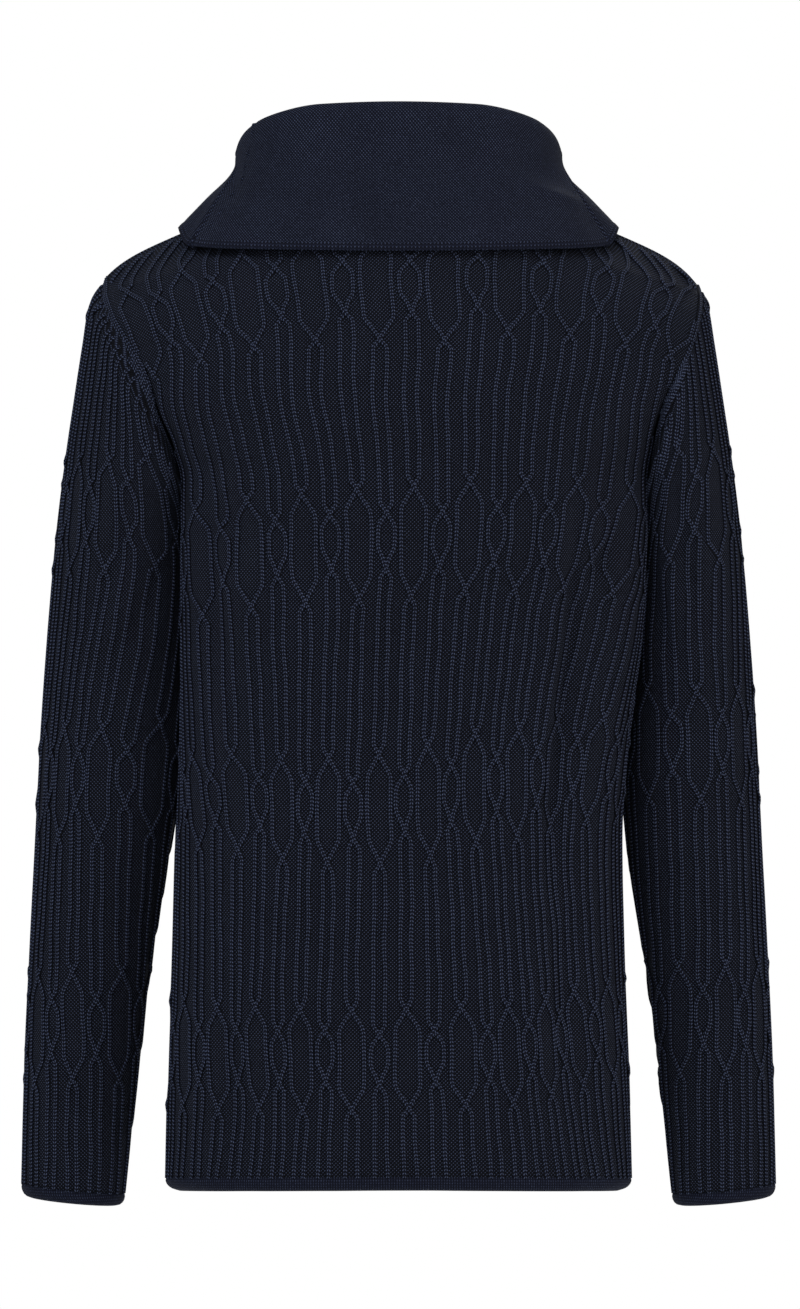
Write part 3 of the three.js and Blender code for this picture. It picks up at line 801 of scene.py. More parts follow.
# %% Where the columns run
BACK_COLUMNS = [
    (-20, -270, -203, -136, -67, 5, 75, 145, 216, 288),
    (-70, -255, -191, -132, -67, 1, 69, 132, 192, 255),
    (-92, -246, -186, -129, -66, 1, 66, 129, 184, 240),
    (-200, -262, -196, -118, -57, 1, 59, 117, 192, 258),
    (-247, -256, -191, -115, -55, 1, 57, 112, 181, 250),
    (-275, -245, -182, -112, -53, 1, 55, 106, 168, 232),
    (-375, -212, -164, -101, -50, 3, 52, 98, 146, 200),
    (-440, -200, -150, -97, -48, 5, 54, 98, 138, 192),
    (-545, -205, -149, -100, -50, 6, 61, 104, 146, 200),
    (-615, -204, -148, -98, -50, 7, 64, 109, 152, 206),
    (-676, -206, -152, -102, -52, 8, 68, 118, 162, 212),
]
BACK_BANDS = [
    (1, 0.95, 0.94, 0.96, -64, -60, -52.5, -52, -53, -44.5, -42, -46, -50),
    (0, 0.95, 0.99, 0.90, -248, -243, -236, -231, -227, -224.5, -223, -226, -231),
    (1, 0.75, 1.01, 0.91, -402, -405, -409, -412, -407.5, -398, -390, -383.5, -383),
    (0, 0.94, 0.89, 0.83, -579, -580, -581, -581.5, -582, -579.5, -573, -565, -560),
]
FRONT_COLUMNS = [
    (-88, -250, -172, -88, -4, 84, 168, 246),
    (-200, -262, -168, -76, -5, 72, 160, 256),
    (-264, -250, -158, -72, -5, 70, 150, 244),
    (-390, -206, -134, -66, -3, 66, 136, 204),
    (-440, -198, -128, -65, -2, 67, 133, 198),
    (-545, -203, -132, -68, -1, 68, 136, 203),
    (-676, -210, -140, -74, 0, 72, 142, 210),
]
FRONT_BANDS = [
    (1, 0.95, 0.95, 0.95, -93, -90, -88, -87, -88, -90, -92),
    (0, 0.92, 1.00, 0.95, -268, -266, -264, -263, -262, -262, -264),
    (1, 0.90, 1.00, 0.85, -436, -438, -441, -442, -438, -432, -430),
    (0, 0.90, 0.93, 0.90, -610, -612, -613, -613, -611, -609, -606),
]
LEFT_SLEEVE_COLUMNS = [
    (-28, -236, -168, -99, -30, 40, 110, 180),
    (-206, -270, -207, -99, -29, 41, 109, 178),
    (-393, -226, -162, -76, -19, 42, 104, 168),
    (-566, -214, -152, -75, -11, 52, 114, 176),
    (-690, -208, -148, -73, -10, 52, 112, 173),
]
LEFT_SLEEVE_BANDS = [
    (0, 1.0, 1.0, 1.0, -30, -28, -26),
    (1, 1.0, 1.0, 1.0, -206, -206, -206),
    (0, 1.0, 1.0, 1.0, -393, -393, -392),
    (1, 1.0, 1.0, 1.0, -566, -566, -566),
]
RIGHT_SLEEVE_COLUMNS = [
    (-22, -190, -126, -60, 8, 80, 150, 220),
    (-200, -200, -135, -70, -6, 82, 184, 270),
    (-368, -190, -122, -54, 10, 76, 158, 240),
    (-560, -170, -108, -48, 12, 73, 150, 225),
    (-690, -166, -106, -46, 11, 72, 146, 218),
]
RIGHT_SLEEVE_BANDS = [
    (0, 1.0, 1.0, 1.0, -22, -22, -24),
    (1, 1.0, 1.0, 1.0, -200, -200, -200),
    (0, 1.0, 1.0, 1.0, -368, -368, -369),
    (1, 1.0, 1.0, 1.0, -560, -560, -561),
]
OUTERMOST = 12  # columns on each side of the middle one
RIB_STEP = 2.6  # millimetres along a rib between two of its rings
OVER, UNDER = 1.1, 0.3  # how far the two ribs of a pair rise where they cross
KNOT_REACH = 1.7  # millimetres from a pair's middle to its ribs when one begins to climb over the other
BAND_SCATTER = 0.8  # millimetres by which a band strays up or down in each column
SWAYS = ((0.35, 17), (0.25, 7.3))  # a rib's two small sways: millimetres sideways, and along for a radian
LONE_SWAY = 0.3  # the share by which a pair's right rib sways more, and its left one less
EASE_POWER = 1.5  # how the columns of a sleeve draw together towards the armhole
hand = np.random.default_rng(20)  # the small unevenness of handwork, the same in each run


def at_column(marks, column):
    """What a table's rows say at any column, from their values at even steps from column -12 to 12."""
    marks = np.array(marks, float).T
    return between(marks, np.array((column + OUTERMOST) / (2 * OUTERMOST) * (len(marks) - 1)))


def pair_routes(cloth, columns, bands, column, eased):
    """The two ribs of one column, each as its u, v and lift at every step from one end to the other."""
    lines = np.array(sorted(columns), float)
    middles = at_column(lines[:, 1:], column)
    spacings = at_column(lines[:, 1:], column + 0.5) - at_column(lines[:, 1:], column - 0.5)
    v = np.linspace(0, 1, int(cloth.along[-1].max() / RIB_STEP) + 1)
    u = np.full(len(v), 0.5)
    width = cloth.width_at(v)
    drawn = np.clip(1 - v / eased, 0, 1) ** EASE_POWER if eased else 0
    ease = 1 - (1 - width[0] / width.max()) * drawn
    # the course depends on the place across, and that on the course, so a few rounds settle both
    for _ in range(4):
        course = cloth.read(cloth.course, u, v)
        at = np.interp(course, lines[:, 0], np.arange(len(lines)))
        middle = between(middles, at) * ease
        u = cloth.share(middle, v)
    apart = np.full(len(v), LEGS_APART)
    for wide, tall_left, tall_middle, tall_right, *heights in bands:
        chart = WIDE_CHART if column % 2 == wide else OVAL_CHART
        tall = np.interp(column, (-OUTERMOST, 0, OUTERMOST), (tall_left, tall_middle, tall_right))
        above = (course - at_column([heights], column)[0] - hand.normal(0, BAND_SCATTER)) / tall
        near = (above > chart["above"][0]) & (above < chart["above"][-1])
        apart = np.where(near, np.interp(above, chart["above"], chart["apart"]), apart)
    gap = apart * between(spacings, at) * ease
    starts = hand.uniform(0, 2 * np.pi, 2)
    sway = sum(far * np.sin(course / long + start) for (far, long), start in zip(SWAYS, starts))
    knot = np.exp(-((gap / KNOT_REACH) ** 2))
    turn = np.where(np.gradient(apart) * hand.choice([-1, 1]) > 0, 1, -1)
    routes = []
    for side in (-1, 1):
        lift = knot * np.where(side * turn > 0, OVER, UNDER)
        across = middle + side * gap + sway * (1 + LONE_SWAY * side)
        routes.append((cloth.share(across, v), v, lift))
    return routes


# %% [markdown]
# A rib runs right into the welt at the hem or the cuff. At every other seam it is cut off, and its last
# few rings sink into the cloth, as the stitches do where they are caught in the linking. Under the arm,
# where the armhole is tight, a sleeve's ribs stop well short of the seam.

# %% Ribs from seam to seam
EDGE_CLEAR = 2.6  # millimetres from a rib's middle to the seam where it ends
UNDERARM_CLEAR = 22  # how much sooner a sleeve's rib ends under the arm than on top of the shoulder
END_SINK = np.array([-1.9, -1.0, -0.3])  # millimetres, from a rib's last ring inwards
SHORTEST = 5  # rings; a shorter stretch is left out


def trimmed(cloth, route):
    """The stretches of a route that lie on the piece."""
    u, v, lift = route
    welt_end = 1 if cloth.closed else 0
    along = cloth.read(cloth.along, u, v)
    seam_away = along if cloth.closed else cloth.read(cloth.along, u, np.ones_like(u)) - along
    clear = EDGE_CLEAR + UNDERARM_CLEAR * welt_end * (1 - np.sin(np.pi * u))
    inside = (np.minimum(u, 1 - u) * cloth.width_at(v) > EDGE_CLEAR) & (seam_away > clear)
    edges = np.flatnonzero(np.diff(np.concatenate([[0], inside.astype(int), [0]])))
    runs = []
    for first, last in edges.reshape(-1, 2):
        if last - first < SHORTEST:
            continue
        raised = lift[first:last].copy()
        if v[first] != welt_end:
            raised[:len(END_SINK)] += END_SINK
        if v[last - 1] != welt_end:
            raised[-len(END_SINK):] += END_SINK[::-1]
        runs.append((u[first:last], v[first:last], raised))
    return runs


def all_routes(cloth, columns, bands, eased=0):
    """Every rib of a piece. eased is the share of a sleeve over which its columns draw together."""
    routes = []
    for column in range(-OUTERMOST, OUTERMOST + 1):
        for route in pair_routes(cloth, columns, bands, column, eased):
            routes += trimmed(cloth, route)
    return routes


# %% [markdown]
# Each rib is a cord of five sides: two ridges for the legs of its stitches, the shallow groove between
# them, and a foot inside the cloth. It starts as a flat grid with one row for each step of the route,
# and is then rolled up round the route. Where its two long edges meet they are joined, and a face closes
# each end.

# %% Cords along the routes
# each corner's place sideways and up, in millimetres from the solid's face
RIB_PROFILE = np.array([
    [-1.85, -1.2], [-1.0, 0.56], [0, 0.2], [1.0, 0.56], [1.85, -1.2], [-1.85, -1.2]])
RIB_ACROSS = np.array([-2.0, -1.05, 0, 1.05, 2.0, -2.0])  # the same corners on the rib's UV map


def rib_frame(cloth, route):
    """For each step of a route: its place, the way sideways, the way out, and the length so far."""
    u, v, lift = route
    line = cloth.place(u, v, lift)
    normal = cloth.read(cloth.normals, u, v)
    side = np.cross(np.gradient(line, axis=0), normal)
    side = side / np.linalg.norm(side, axis=1, keepdims=True)
    length = np.concatenate([[0], np.cumsum(np.linalg.norm(np.diff(line, axis=0), axis=1))])
    return line, side, normal, length


def rib_mesh(name, cloth, routes):
    """All the ribs of a piece in one mesh. Each starts as a grid at its own height, to tell them apart."""
    bm = bmesh.new()
    bm.loops.layers.uv.new("stitches")
    for number, (u, _, _) in enumerate(routes):
        bmesh.ops.create_grid(bm, x_segments=len(RIB_PROFILE) - 1, y_segments=len(u) - 1, size=1,
                              matrix=Matrix.Translation((0, 0, number)))
    mesh = bpy.data.meshes.new(name)
    bm.to_mesh(mesh)
    bm.free()
    grid = read_points(mesh)
    number = np.rint(grid[:, 2]).astype(int)
    counts = np.array([len(u) for u, _, _ in routes])
    first = np.concatenate([[0], np.cumsum(counts)[:-1]])
    corner = np.rint((grid[:, 0] + 1) / 2 * (len(RIB_PROFILE) - 1)).astype(int)
    step = first[number] + np.rint((grid[:, 1] + 1) / 2 * (counts[number] - 1)).astype(int)
    frames = [rib_frame(cloth, route) for route in routes]
    centre, sideways, outwards, length = (np.concatenate(parts) for parts in zip(*frames))
    profile = RIB_PROFILE[corner]
    points = centre[step] + sideways[step] * profile[:, :1] + outwards[step] * profile[:, 1:]
    write_stitches(mesh, RIB_ACROSS[corner], length[step])
    write_points(mesh, points)
    bm = joined(mesh)
    bmesh.ops.holes_fill(bm, edges=[e for e in bm.edges if e.is_boundary], sides=0)
    bmesh.ops.recalc_face_normals(bm, faces=bm.faces)
    bm.to_mesh(mesh)
    bm.free()
    return mesh


def ribs(name, cloth, routes):
    """The ribs of one piece."""
    return add_object(name, rib_mesh(name, cloth, routes), rib_finish, "ribbed_knit")


back_ribs = ribs("back_ribs", back, all_routes(back, BACK_COLUMNS, BACK_BANDS))
front_ribs = ribs("front_ribs", front, all_routes(front, FRONT_COLUMNS, FRONT_BANDS))

# %% [markdown]
# A sleeve is linked into the armhole, and the seam lies in a slight groove. At the back of the arm, where
# the sleeve's extra width was eased in, the cloth beside it puckers into a short ruffle: four cords
# next to each other that waver like a rope.

# %% The sleeves' ribs and their ruffles
EASED = 3 / 11  # how far down a sleeve its columns draw together towards the shorter armhole
RUFFLE_CORDS = (0.6, 2.4, 4.2, 6.0)  # millimetres from the seam line to the middle of each cord
RUFFLE_STEP = 1.5  # millimetres between two rings of a cord
RUFFLE_TURN, RUFFLE_SHIFT = 0.95, 0.9  # radians of the waver from step to step, and from cord to cord
# millimetres of the waver sideways and up, of the whole cord's rise, and of the drop at its two ends
RUFFLE_SIDEWAYS, RUFFLE_UP, RUFFLE_RISE, RUFFLE_SINK = 0.3, 0.6, 0.4, 1.4
EDGE_CORDS = (0, 1.7)  # millimetres from the seam line to each cord of edge stitches
EDGE_LOW, EDGE_LEAN = 0.8, 0.25  # how low these lie, and how much lower for each millimetre from the seam
EDGE_WAVER, EDGE_WAVES = 0.2, 90  # how far they waver up and down, and the radians of it all round
NEAR_SEAM = 0.02  # a small share of the sleeve, over which lengths beside the seam are measured


def beside_seam(cloth, u, down):
    """The v that lies some millimetres down from the armhole seam, at each u."""
    return down * NEAR_SEAM / cloth.read(cloth.along, u, np.full_like(u, NEAR_SEAM))


def ruffle(cloth, u_first, u_last):
    """The cords of a ruffle beside the armhole seam, between two shares round the sleeve."""
    steps = int(abs(u_last - u_first) * cloth.width[0] / RUFFLE_STEP)
    run = np.linspace(0, 1, steps)
    u = mix(u_first, u_last, run)
    fade = np.sin(np.pi * run) ** 0.5
    routes = []
    for number, down in enumerate(RUFFLE_CORDS):
        twist = np.sin(run * steps * RUFFLE_TURN + number * RUFFLE_SHIFT)
        v = beside_seam(cloth, u, down + RUFFLE_SIDEWAYS * fade * twist)
        lift = fade * (RUFFLE_RISE + RUFFLE_UP * np.roll(twist, 1)) - RUFFLE_SINK * (1 - fade)
        routes.append((u, v, lift))
    return routes


def edge_stitches(cloth):
    """The edge stitches of the sleeve and the body, which lie low in the seam all round the armhole."""
    u = np.linspace(0.004, 0.996, int(cloth.width[0] / RIB_STEP))
    waver = EDGE_WAVER * np.sin(u * EDGE_WAVES)
    return [(u, beside_seam(cloth, u, down), waver - EDGE_LOW - EDGE_LEAN * down) for down in EDGE_CORDS]


left_routes = all_routes(sleeve_left, LEFT_SLEEVE_COLUMNS, LEFT_SLEEVE_BANDS, EASED)
left_routes += edge_stitches(sleeve_left)
left_ribs = ribs("sleeve_left_ribs", sleeve_left, left_routes + ruffle(sleeve_left, 0.17, 0.30))
right_routes = all_routes(sleeve_right, RIGHT_SLEEVE_COLUMNS, RIGHT_SLEEVE_BANDS, EASED)
right_routes += edge_stitches(sleeve_right)
right_ribs = ribs("sleeve_right_ribs", sleeve_right, right_routes + ruffle(sleeve_right, 0.70, 0.85))

# %% [markdown]
# ## The collar
#
# The collar is two flat strips of plain knit, one at the back and one at the front. Each stands up from
# the neck seam, rolls over a fold and hangs down over the shoulders, and the two part at the sides in
# a short open vent. The table holds the fold, the middle of the flap and its edge, at angles round the
# neck from 0 at the back to 180 at the front.

# %% The collar's line
COLLAR = table("angle fold_x fold_y fold_z mid_x mid_y mid_z edge_x edge_y edge_z", [
    [0, 0, -76, 72.5, 0, -83, 28, 0, -88.5, -30],
    [30, 54, -68, 71.3, 58, -77.5, 27, 74, -83, -29],
    [60, 95.5, -43, 62, 101, -51, 28, 127, -62, -26.5],
    [80, 107, -20, 53, 113.5, -24, 31, 147.5, -36, -22.5],
    [90, 109, -6, 46, 114, -8, 30, 153, -13, -10.5],
    [110, 102, 20, 37, 110, 22, 14, 148, 25, -23],
    [145, 62, 54, 24, 70, 65, -14, 94, 87, -70],
    [180, 0, 66, 18, 0, 83, -28, 0, 103, -92],
])
FOLD_RADIUS, FOLD_DEPTH = 3.4, 4.0  # the fold is a small bow, this far to each side and this high
COLLAR_WALL, CLOTH_WALL, SEAM_GAP = 2.6, 2.8, 0.5  # CLOTH_WALL and SEAM_GAP are those of the solids
SEAM_RISE = 0.8  # how far the collar's seam stands above the neckline


def collar_sections(angle):
    """The table's fold, middle and edge at an angle; the two sides level out at the back and the front."""
    turn = np.abs(angle)
    at = np.interp(turn, COLLAR["angle"], np.arange(len(COLLAR["angle"])))
    read = {name: between(COLLAR[name], at, level_ends=not name.endswith("_x")) for name in COLLAR}
    parts = ("fold", "mid", "edge")
    return [np.stack([read[f"{part}_{axis}"] for axis in "xyz"], axis=-1) for part in parts]


def collar_knots(panel, angle):
    """The eight points that the collar's line runs through at each angle, from the seam to the edge."""
    turn = np.radians(np.abs(angle))
    outwards = np.stack([np.sin(turn), -np.cos(turn), np.zeros_like(turn)], axis=-1)
    fold_at, middle, edge = collar_sections(angle)
    seam = top_edge(panel, NECK_HALF_WIDTH * np.sin(turn)) - outwards * CLOTH_WALL / 2
    seam[:, 2] += SEAM_RISE
    low_fold = fold_at - [0, 0, FOLD_DEPTH]
    inside, outside = low_fold - outwards * FOLD_RADIUS, low_fold + outwards * FOLD_RADIUS
    knots = [seam, (seam + inside) / 2, inside, fold_at, outside, middle, (middle + edge) / 2, edge]
    knots = np.stack(knots, axis=1)
    knots[..., 0] *= np.where(angle < 0, -1, 1)[:, None]
    return knots


def smooth_line(knots, over):
    """Points on a smooth line through the knots, at shares over of their count, each angle with its own."""
    last = knots.shape[1] - 1
    ends = [2 * knots[:, :1] - knots[:, 1:2], knots, 2 * knots[:, -1:] - knots[:, -2:-1]]
    knots = np.concatenate(ends, axis=1)
    place = np.clip(over, 0, 1) * last
    i = np.minimum(place.astype(int), last - 1)
    t = (place - i)[:, None]
    rows = np.arange(len(knots))
    p = [knots[rows, i + k] for k in range(4)]
    d = [np.sqrt(np.linalg.norm(p[k + 1] - p[k], axis=1, keepdims=True)) for k in range(3)]
    leave = ((p[1] - p[0]) / d[0] - (p[2] - p[0]) / (d[0] + d[1]) + (p[2] - p[1]) / d[1]) * d[1]
    arrive = ((p[2] - p[1]) / d[1] - (p[3] - p[1]) / (d[1] + d[2]) + (p[3] - p[2]) / d[2]) * d[1]
    rise = p[2] - p[1]
    return p[1] + t * (leave + t * (3 * rise - 2 * leave - arrive + t * (leave + arrive - 2 * rise)))


# %% The two strips of the collar
FOLD_SHARE = 0.55  # how far from the seam to the edge the flap begins to hang free
VENT_TURN, VENT_LEAN = 14.2, 0.15  # degrees that a vent runs back by, and the share more on the left
VENT_BEND = 0.75  # the share of the flap's height over which it does
VENT_GAP = 4.2  # millimetres between the two strips at the flap's edge
MOST_PULL = 0.9  # a row's end is never drawn in past this share of the way to the next point
COLLAR_ROWS, COLLAR_POINTS = 161, 181


def collar_strip(panel):
    """One strip on its visible face. Rows run from the flap's edge, over the fold, to the neck seam."""
    share = np.linspace(-1, 1, COLLAR_POINTS)
    rows = []
    for over in np.linspace(1, 0, COLLAR_ROWS):
        down = np.clip((over - FOLD_SHARE) / (1 - FOLD_SHARE), 0, 1)
        rightwards = share if panel is BACK else -share
        back_by = VENT_TURN * (1 - VENT_LEAN * rightwards)
        side = 90 - back_by * np.sin(np.clip(down / VENT_BEND, 0, 1) * np.pi / 2)
        if panel is BACK:
            angle = side * share
        else:
            from_front = (180 - side) * share
            angle = from_front - 180 * np.where(from_front < 0, -1, 1)
        row = smooth_line(collar_knots(panel, angle), np.full(len(share), over))
        run = np.diff(row[[0, 1, -2, -1]], axis=0)[[0, 2]]
        pull = mix(SEAM_GAP, VENT_GAP, down) / 2 / np.linalg.norm(run, axis=1)
        row[0] += run[0] * min(pull[0], MOST_PULL)
        row[-1] -= run[1] * min(pull[1], MOST_PULL)
        rows.append(row)
    points = np.array(rows)
    cloth = Cloth(points, 0.5, points[..., 2].copy())
    cloth.shape_to(points + cloth.normals * COLLAR_WALL / 2)
    return cloth


collar_back, collar_front = collar_strip(BACK), collar_strip(FRONT)
print("collar strips, along the edge:", collar_back.width[0].round(), collar_front.width[0].round(), "mm")

# %% [markdown]
# At the vents the back strip lies over the front one, so its edge stands a little proud. Near them the
# strip was shaped by taking stitches together, and every such place shows as a small knot with a pit.
# The edge of the flap is a band of coarser stitches, a little thicker than the rest, and the flap is not
# quite flat: it swells over the shoulder seams. These are moved on the strip's own grid.

# %% Details of the collar
# x and z of each knot, and how far it stands out, in millimetres
COLLAR_KNOTS = [
    (-101, 60, 1.2), (-102, 54, 0.9), (-105, 40, 1.2), (-107, 31, 0.8), (-109, 22, 1.2), (-116, 11, 1.1),
    (-124, -1, 1.0), (-130, -9, 0.7), (122, 14, 0.7), (129, 4, 0.7), (134, -5, 0.6),
]
# the same columns as the body's folds, on the back strip: across, and up from the flap's edge
COLLAR_FOLDS = table(FOLD_COLUMNS, [
    [86, 50, 146, 36, 2.6, 5.5, 2],
    [78, 68, 142, 52, -2.0, 9, 3],
    [-60, 22, 50, 17, -0.8, 12, 4],
    [-146, 78, -112, 34, -2.0, 9, 3],
    [-112, 30, -40, 12, 1.0, 10, 2],
    [-30, 60, -22, 92, -0.8, 14, 0],
])
EDGE_SWELL, EDGE_SWELL_REACH = 0.25, 2.6  # how far the edge band stands out, and over how much height
EDGE_LINE, EDGE_LINE_UP, EDGE_LINE_REACH = 0.25, 0.9, 1.2  # the fine line pressed in above that band
VENT_LENGTH = 85  # millimetres up from the flap's edge
VENT_REACH = 9  # millimetres from a vent over which the strip rises or sinks
VENT_GROOVE, GROOVE_AWAY, GROOVE_REACH = 1.5, 4.6, 1.9  # the cloth sinks beside a vent's rolled edge
PIT_AWAY, KNOT_SPREAD = 2.2, 1.6  # how far a knot's pit lies to its right, and how far both spread
BACK_OVER, FRONT_UNDER = 1.8, -3.6  # at the vents the back strip lies over the front one
COLLAR_CELL = 1.8


def flap_lift(cloth, knots, at_vent):
    """The flap's lift: a swollen edge, its height at the vents, and each knot of its shaping."""
    flap = cloth.points[:COLLAR_ROWS // 2]
    knot_places = []
    for x, z, out in knots:
        nearest = np.argmin(np.hypot(flap[..., 0] - x, flap[..., 2] - z))
        row, point = np.unravel_index(nearest, flap.shape[:2])
        knot_places.append((cloth.across[row, point], cloth.along[row, point], out))

    def lift(u, v):
        across, along = cloth.read(cloth.across, u, v), cloth.read(cloth.along, u, v)
        from_vent = np.minimum(u, 1 - u) * cloth.width[0]
        hanging = np.clip(1 - along / VENT_LENGTH, 0, 1) ** 0.5
        raised = EDGE_SWELL * np.exp(-(((along - EDGE_DEPTH / 2) / EDGE_SWELL_REACH) ** 2))
        raised -= EDGE_LINE * np.exp(-(((along - EDGE_DEPTH - EDGE_LINE_UP) / EDGE_LINE_REACH) ** 2))
        raised += at_vent * hanging * np.exp(-((from_vent / VENT_REACH) ** 2))
        raised -= VENT_GROOVE * hanging * np.exp(-(((from_vent - GROOVE_AWAY) / GROOVE_REACH) ** 2))
        for place, height, out in knot_places:
            upright = (along - height) ** 2 / 3  # a knot is taller than it is wide
            raised += out * np.exp(-((across - place) ** 2 + upright) / KNOT_SPREAD)
            raised -= out * np.exp(-((across - place - PIT_AWAY) ** 2 + upright) / KNOT_SPREAD)
        return raised

    return lift


def collar(name, cloth, knots, at_vent, node):
    """One strip of the collar."""
    mesh = sheet_mesh(name, cloth, COLLAR_CELL, flap_lift(cloth, knots, at_vent))
    made = add_object(name, mesh, collar_finish, "plain_knit", node)
    thicken(made, COLLAR_WALL)
    return made


collar_back.course = collar_back.along.copy()  # its folds are placed by their way up from the edge
fold(collar_back, COLLAR_FOLDS)
collar_back_cloth = collar("collar_back_cloth", collar_back, COLLAR_KNOTS, BACK_OVER, "collar_back")
collar_front_cloth = collar("collar_front_cloth", collar_front, [], FRONT_UNDER, "collar_front")

# %% [markdown]
# ## Hem and cuffs
#
# The welts are narrow bands folded double and linked on. Each one laps a little over the edge of the
# cloth above it, so that no light shows through the seam, swells, and turns in at the bottom.

# %% Hem
BAND_HEIGHT, BAND_TURN_IN = 10.1, 5.0  # millimetres from the cloth's edge down, and inwards at the bottom
CORNER_TURN, CORNER_POWER = 0.9, 6  # the share more that the hem turns in at its sides, and how suddenly
BAND_ROWS = 13
WELT_WALL, WELT_CELL, WELT_LAP = 2.6, 1.6, 0.8
WELT_LIFT, WELT_SEAM_DIP, WELT_EDGE_DIP = 0.3, 1.2, 0.7  # above the solid's face, and at its two edges
WELT_SEAM_REACH, WELT_EDGE_REACH = 0.12, 0.15  # shares of the welt's height over which it rounds off


def hem_strip(cloth):
    """A hem on its outer face, from its bottom edge up to the cloth."""
    edge = cloth.points[0]
    inward = -edge * [1, 1, 0] / np.linalg.norm(edge[:, :2], axis=1, keepdims=True)
    sideways = np.abs(edge[:, :1]) / np.abs(edge[:, 0]).max()
    inward = inward * (1 + CORNER_TURN * sideways**CORNER_POWER)
    down = np.linspace(1, 0, BAND_ROWS)[:, None, None]
    points = edge + inward * BAND_TURN_IN * down**3 - np.array([0, 0, 1]) * (BAND_HEIGHT * down - WELT_LAP)
    return Cloth(points, 0.5, points[..., 2].copy())


def welt_lift(u, v):
    """A welt is as high as the ribs above it, and rounds off towards its seam and its bottom edge."""
    seam_dip = WELT_SEAM_DIP * np.exp(-(((1 - v) / WELT_SEAM_REACH) ** 2))
    edge_dip = WELT_EDGE_DIP * np.exp(-((v / WELT_EDGE_REACH) ** 2))
    return WELT_LIFT - seam_dip - edge_dip


def welt(name, cloth, node):
    """A welt at the hem or a cuff."""
    mesh = sheet_mesh(name, cloth, WELT_CELL, welt_lift)
    made = add_object(name, mesh, welt_finish, "welt", node)
    thicken(made, WELT_WALL)
    return made


hem_back_cloth = welt("hem_back_cloth", hem_strip(back), "hem_back")
hem_front_cloth = welt("hem_front_cloth", hem_strip(front), "hem_front")


# %% Cuffs
def cuff_strip(side):
    """A cuff on its outer face, from the sleeve's last ring down."""
    turns = np.radians(np.linspace(-180, 180, SLEEVE_POINTS))
    rows = []
    for down in np.linspace(0, 1, BAND_ROWS):
        ring = sleeve_rings(side, turns, BAND_HEIGHT * down - WELT_LAP, BAND_TURN_IN * down**3)[-1:]
        rows.append(spread(ring, np.linspace(0, 1, SLEEVE_POINTS))[0])
    points = np.array(rows)
    points = points[:, ::-1] if side < 0 else points
    return Cloth(points, 0.5, points[..., 2].copy(), closed=True)


left_cuff = welt("cuff_left_cloth", cuff_strip(-1), "cuff_left")
right_cuff = welt("cuff_right_cloth", cuff_strip(1), "cuff_right")

# %% [markdown]
# ## The cut of the cloth
#
# For each sheet the script prints the rectangle that it was knitted or cut in, as its widest width and
# longest length in millimetres along the cloth, and the area of its face in square metres, which is
# smaller where the piece narrows. A tube's width goes all round it.


# %% Flat sizes
def flat_area(cloth):
    """The area of a sheet's face in square metres."""
    a, b = np.diff(cloth.points, axis=1)[:-1], np.diff(cloth.points, axis=0)[:, :-1]
    return float(np.linalg.norm(np.cross(a, b), axis=2).sum() * MM * MM)


surfaces = {
    "back": back, "front": front, "left sleeve": sleeve_left, "right sleeve": sleeve_right,
    "back collar": collar_back, "front collar": collar_front, "hem": hem_strip(back), "cuff": cuff_strip(-1)}
for name, cloth in surfaces.items():
    print(name, "widest", cloth.width.max().round(), "longest", cloth.along[-1].max().round(),
          "area", round(flat_area(cloth), 4))

# %% [markdown]
# ## The light
#
# A plain studio. The key light is broad and stands high on the camera's left, a warmer one fills from
# its right, a level one just before the camera opens the shadows, and one behind the garment lights its
# far side. The floor is a wide pale disc, far enough below to stay out of the straight view. What the
# camera sees of the sky is white, while the sky that lights the cloth is dimmer, as in a studio where
# only the wall behind is lit fully.

# %% Floor
FLOOR_Z, FLOOR_RADIUS = -0.98, 2.2

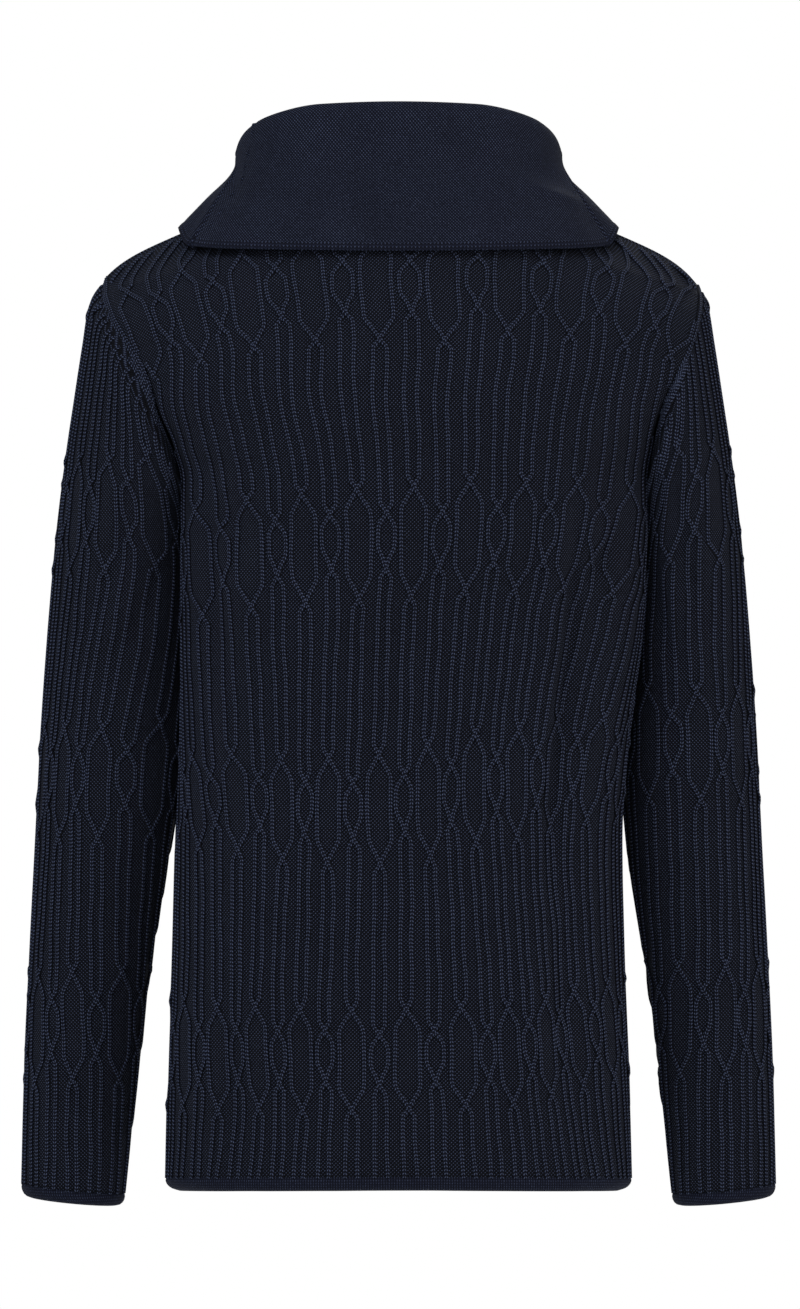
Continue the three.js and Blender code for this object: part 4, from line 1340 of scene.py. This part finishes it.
floor_material, add = new_material("matt pale studio floor")
grain = add("ShaderNodeTexNoise", {"Vector": add("ShaderNodeTexCoord").outputs["Object"], "Scale": 3.0})
tint = add("ShaderNodeValToRGB", {"Fac": grain})
set_stops(tint, [(0.0, colour("#e9eaec")), (1.0, colour("#f3f4f5"))])
add("ShaderNodeOutputMaterial", {
    "Surface": add("ShaderNodeBsdfPrincipled", {"Base Color": tint, "Roughness": 0.9, "IOR": 1.45})})

bm = bmesh.new()
bmesh.ops.create_circle(bm, cap_ends=True, radius=FLOOR_RADIUS, segments=96,
                        matrix=Matrix.Translation((0, 0, FLOOR_Z)))
floor_mesh = bpy.data.meshes.new("floor")
bm.to_mesh(floor_mesh)
bm.free()
floor_mesh.materials.append(floor_material)
studio_floor = bpy.data.objects.new("floor", floor_mesh)
bpy.context.scene.collection.objects.link(studio_floor)

# %% Light and sky
bpy.context.scene.view_settings.view_transform = "Standard"


def soft_light(name, place, target, size, power, tint):
    """A square soft light of a size in metres and a power in watts, turned towards its target."""
    data = bpy.data.lights.new(name, "AREA")
    data.size = size
    data.energy = power
    data.color = colour(tint)[:3]
    light = bpy.data.objects.new(name, data)
    light.location = place
    aim = Vector(place) - Vector(target)
    light.rotation_euler = aim.to_track_quat("Z", "Y").to_euler()
    bpy.context.scene.collection.objects.link(light)


soft_light("key", (-1.0, -2.3, 2.1), (0, 0, 0), 1.6, 38, "#f4f8ff")
soft_light("fill", (2.5, -2.4, 0.5), (0.1, 0, -0.2), 2.0, 22, "#fff4ea")
soft_light("front", (-0.3, -4.4, -0.2), (0, 0, -0.1), 1.8, 24, "#ffffff")
soft_light("behind", (0.5, 3.0, 2.0), (0, 0, -0.2), 2.0, 40, "#ffffff")

world = bpy.data.worlds.new("pale studio")
bpy.context.scene.world = world
world.use_nodes = True
world.node_tree.nodes.clear()
add = functools.partial(add_node, world.node_tree)
lit = add("ShaderNodeBackground", {"Color": colour("#f2f5ff"), "Strength": 0.3})
seen = add("ShaderNodeBackground", {"Color": colour("#ffffff"), "Strength": 1.0})
rays = add("ShaderNodeLightPath")
sky = add("ShaderNodeMixShader", {0: rays.outputs["Is Camera Ray"], 1: lit, 2: seen})
add("ShaderNodeOutputWorld", {"Surface": sky})
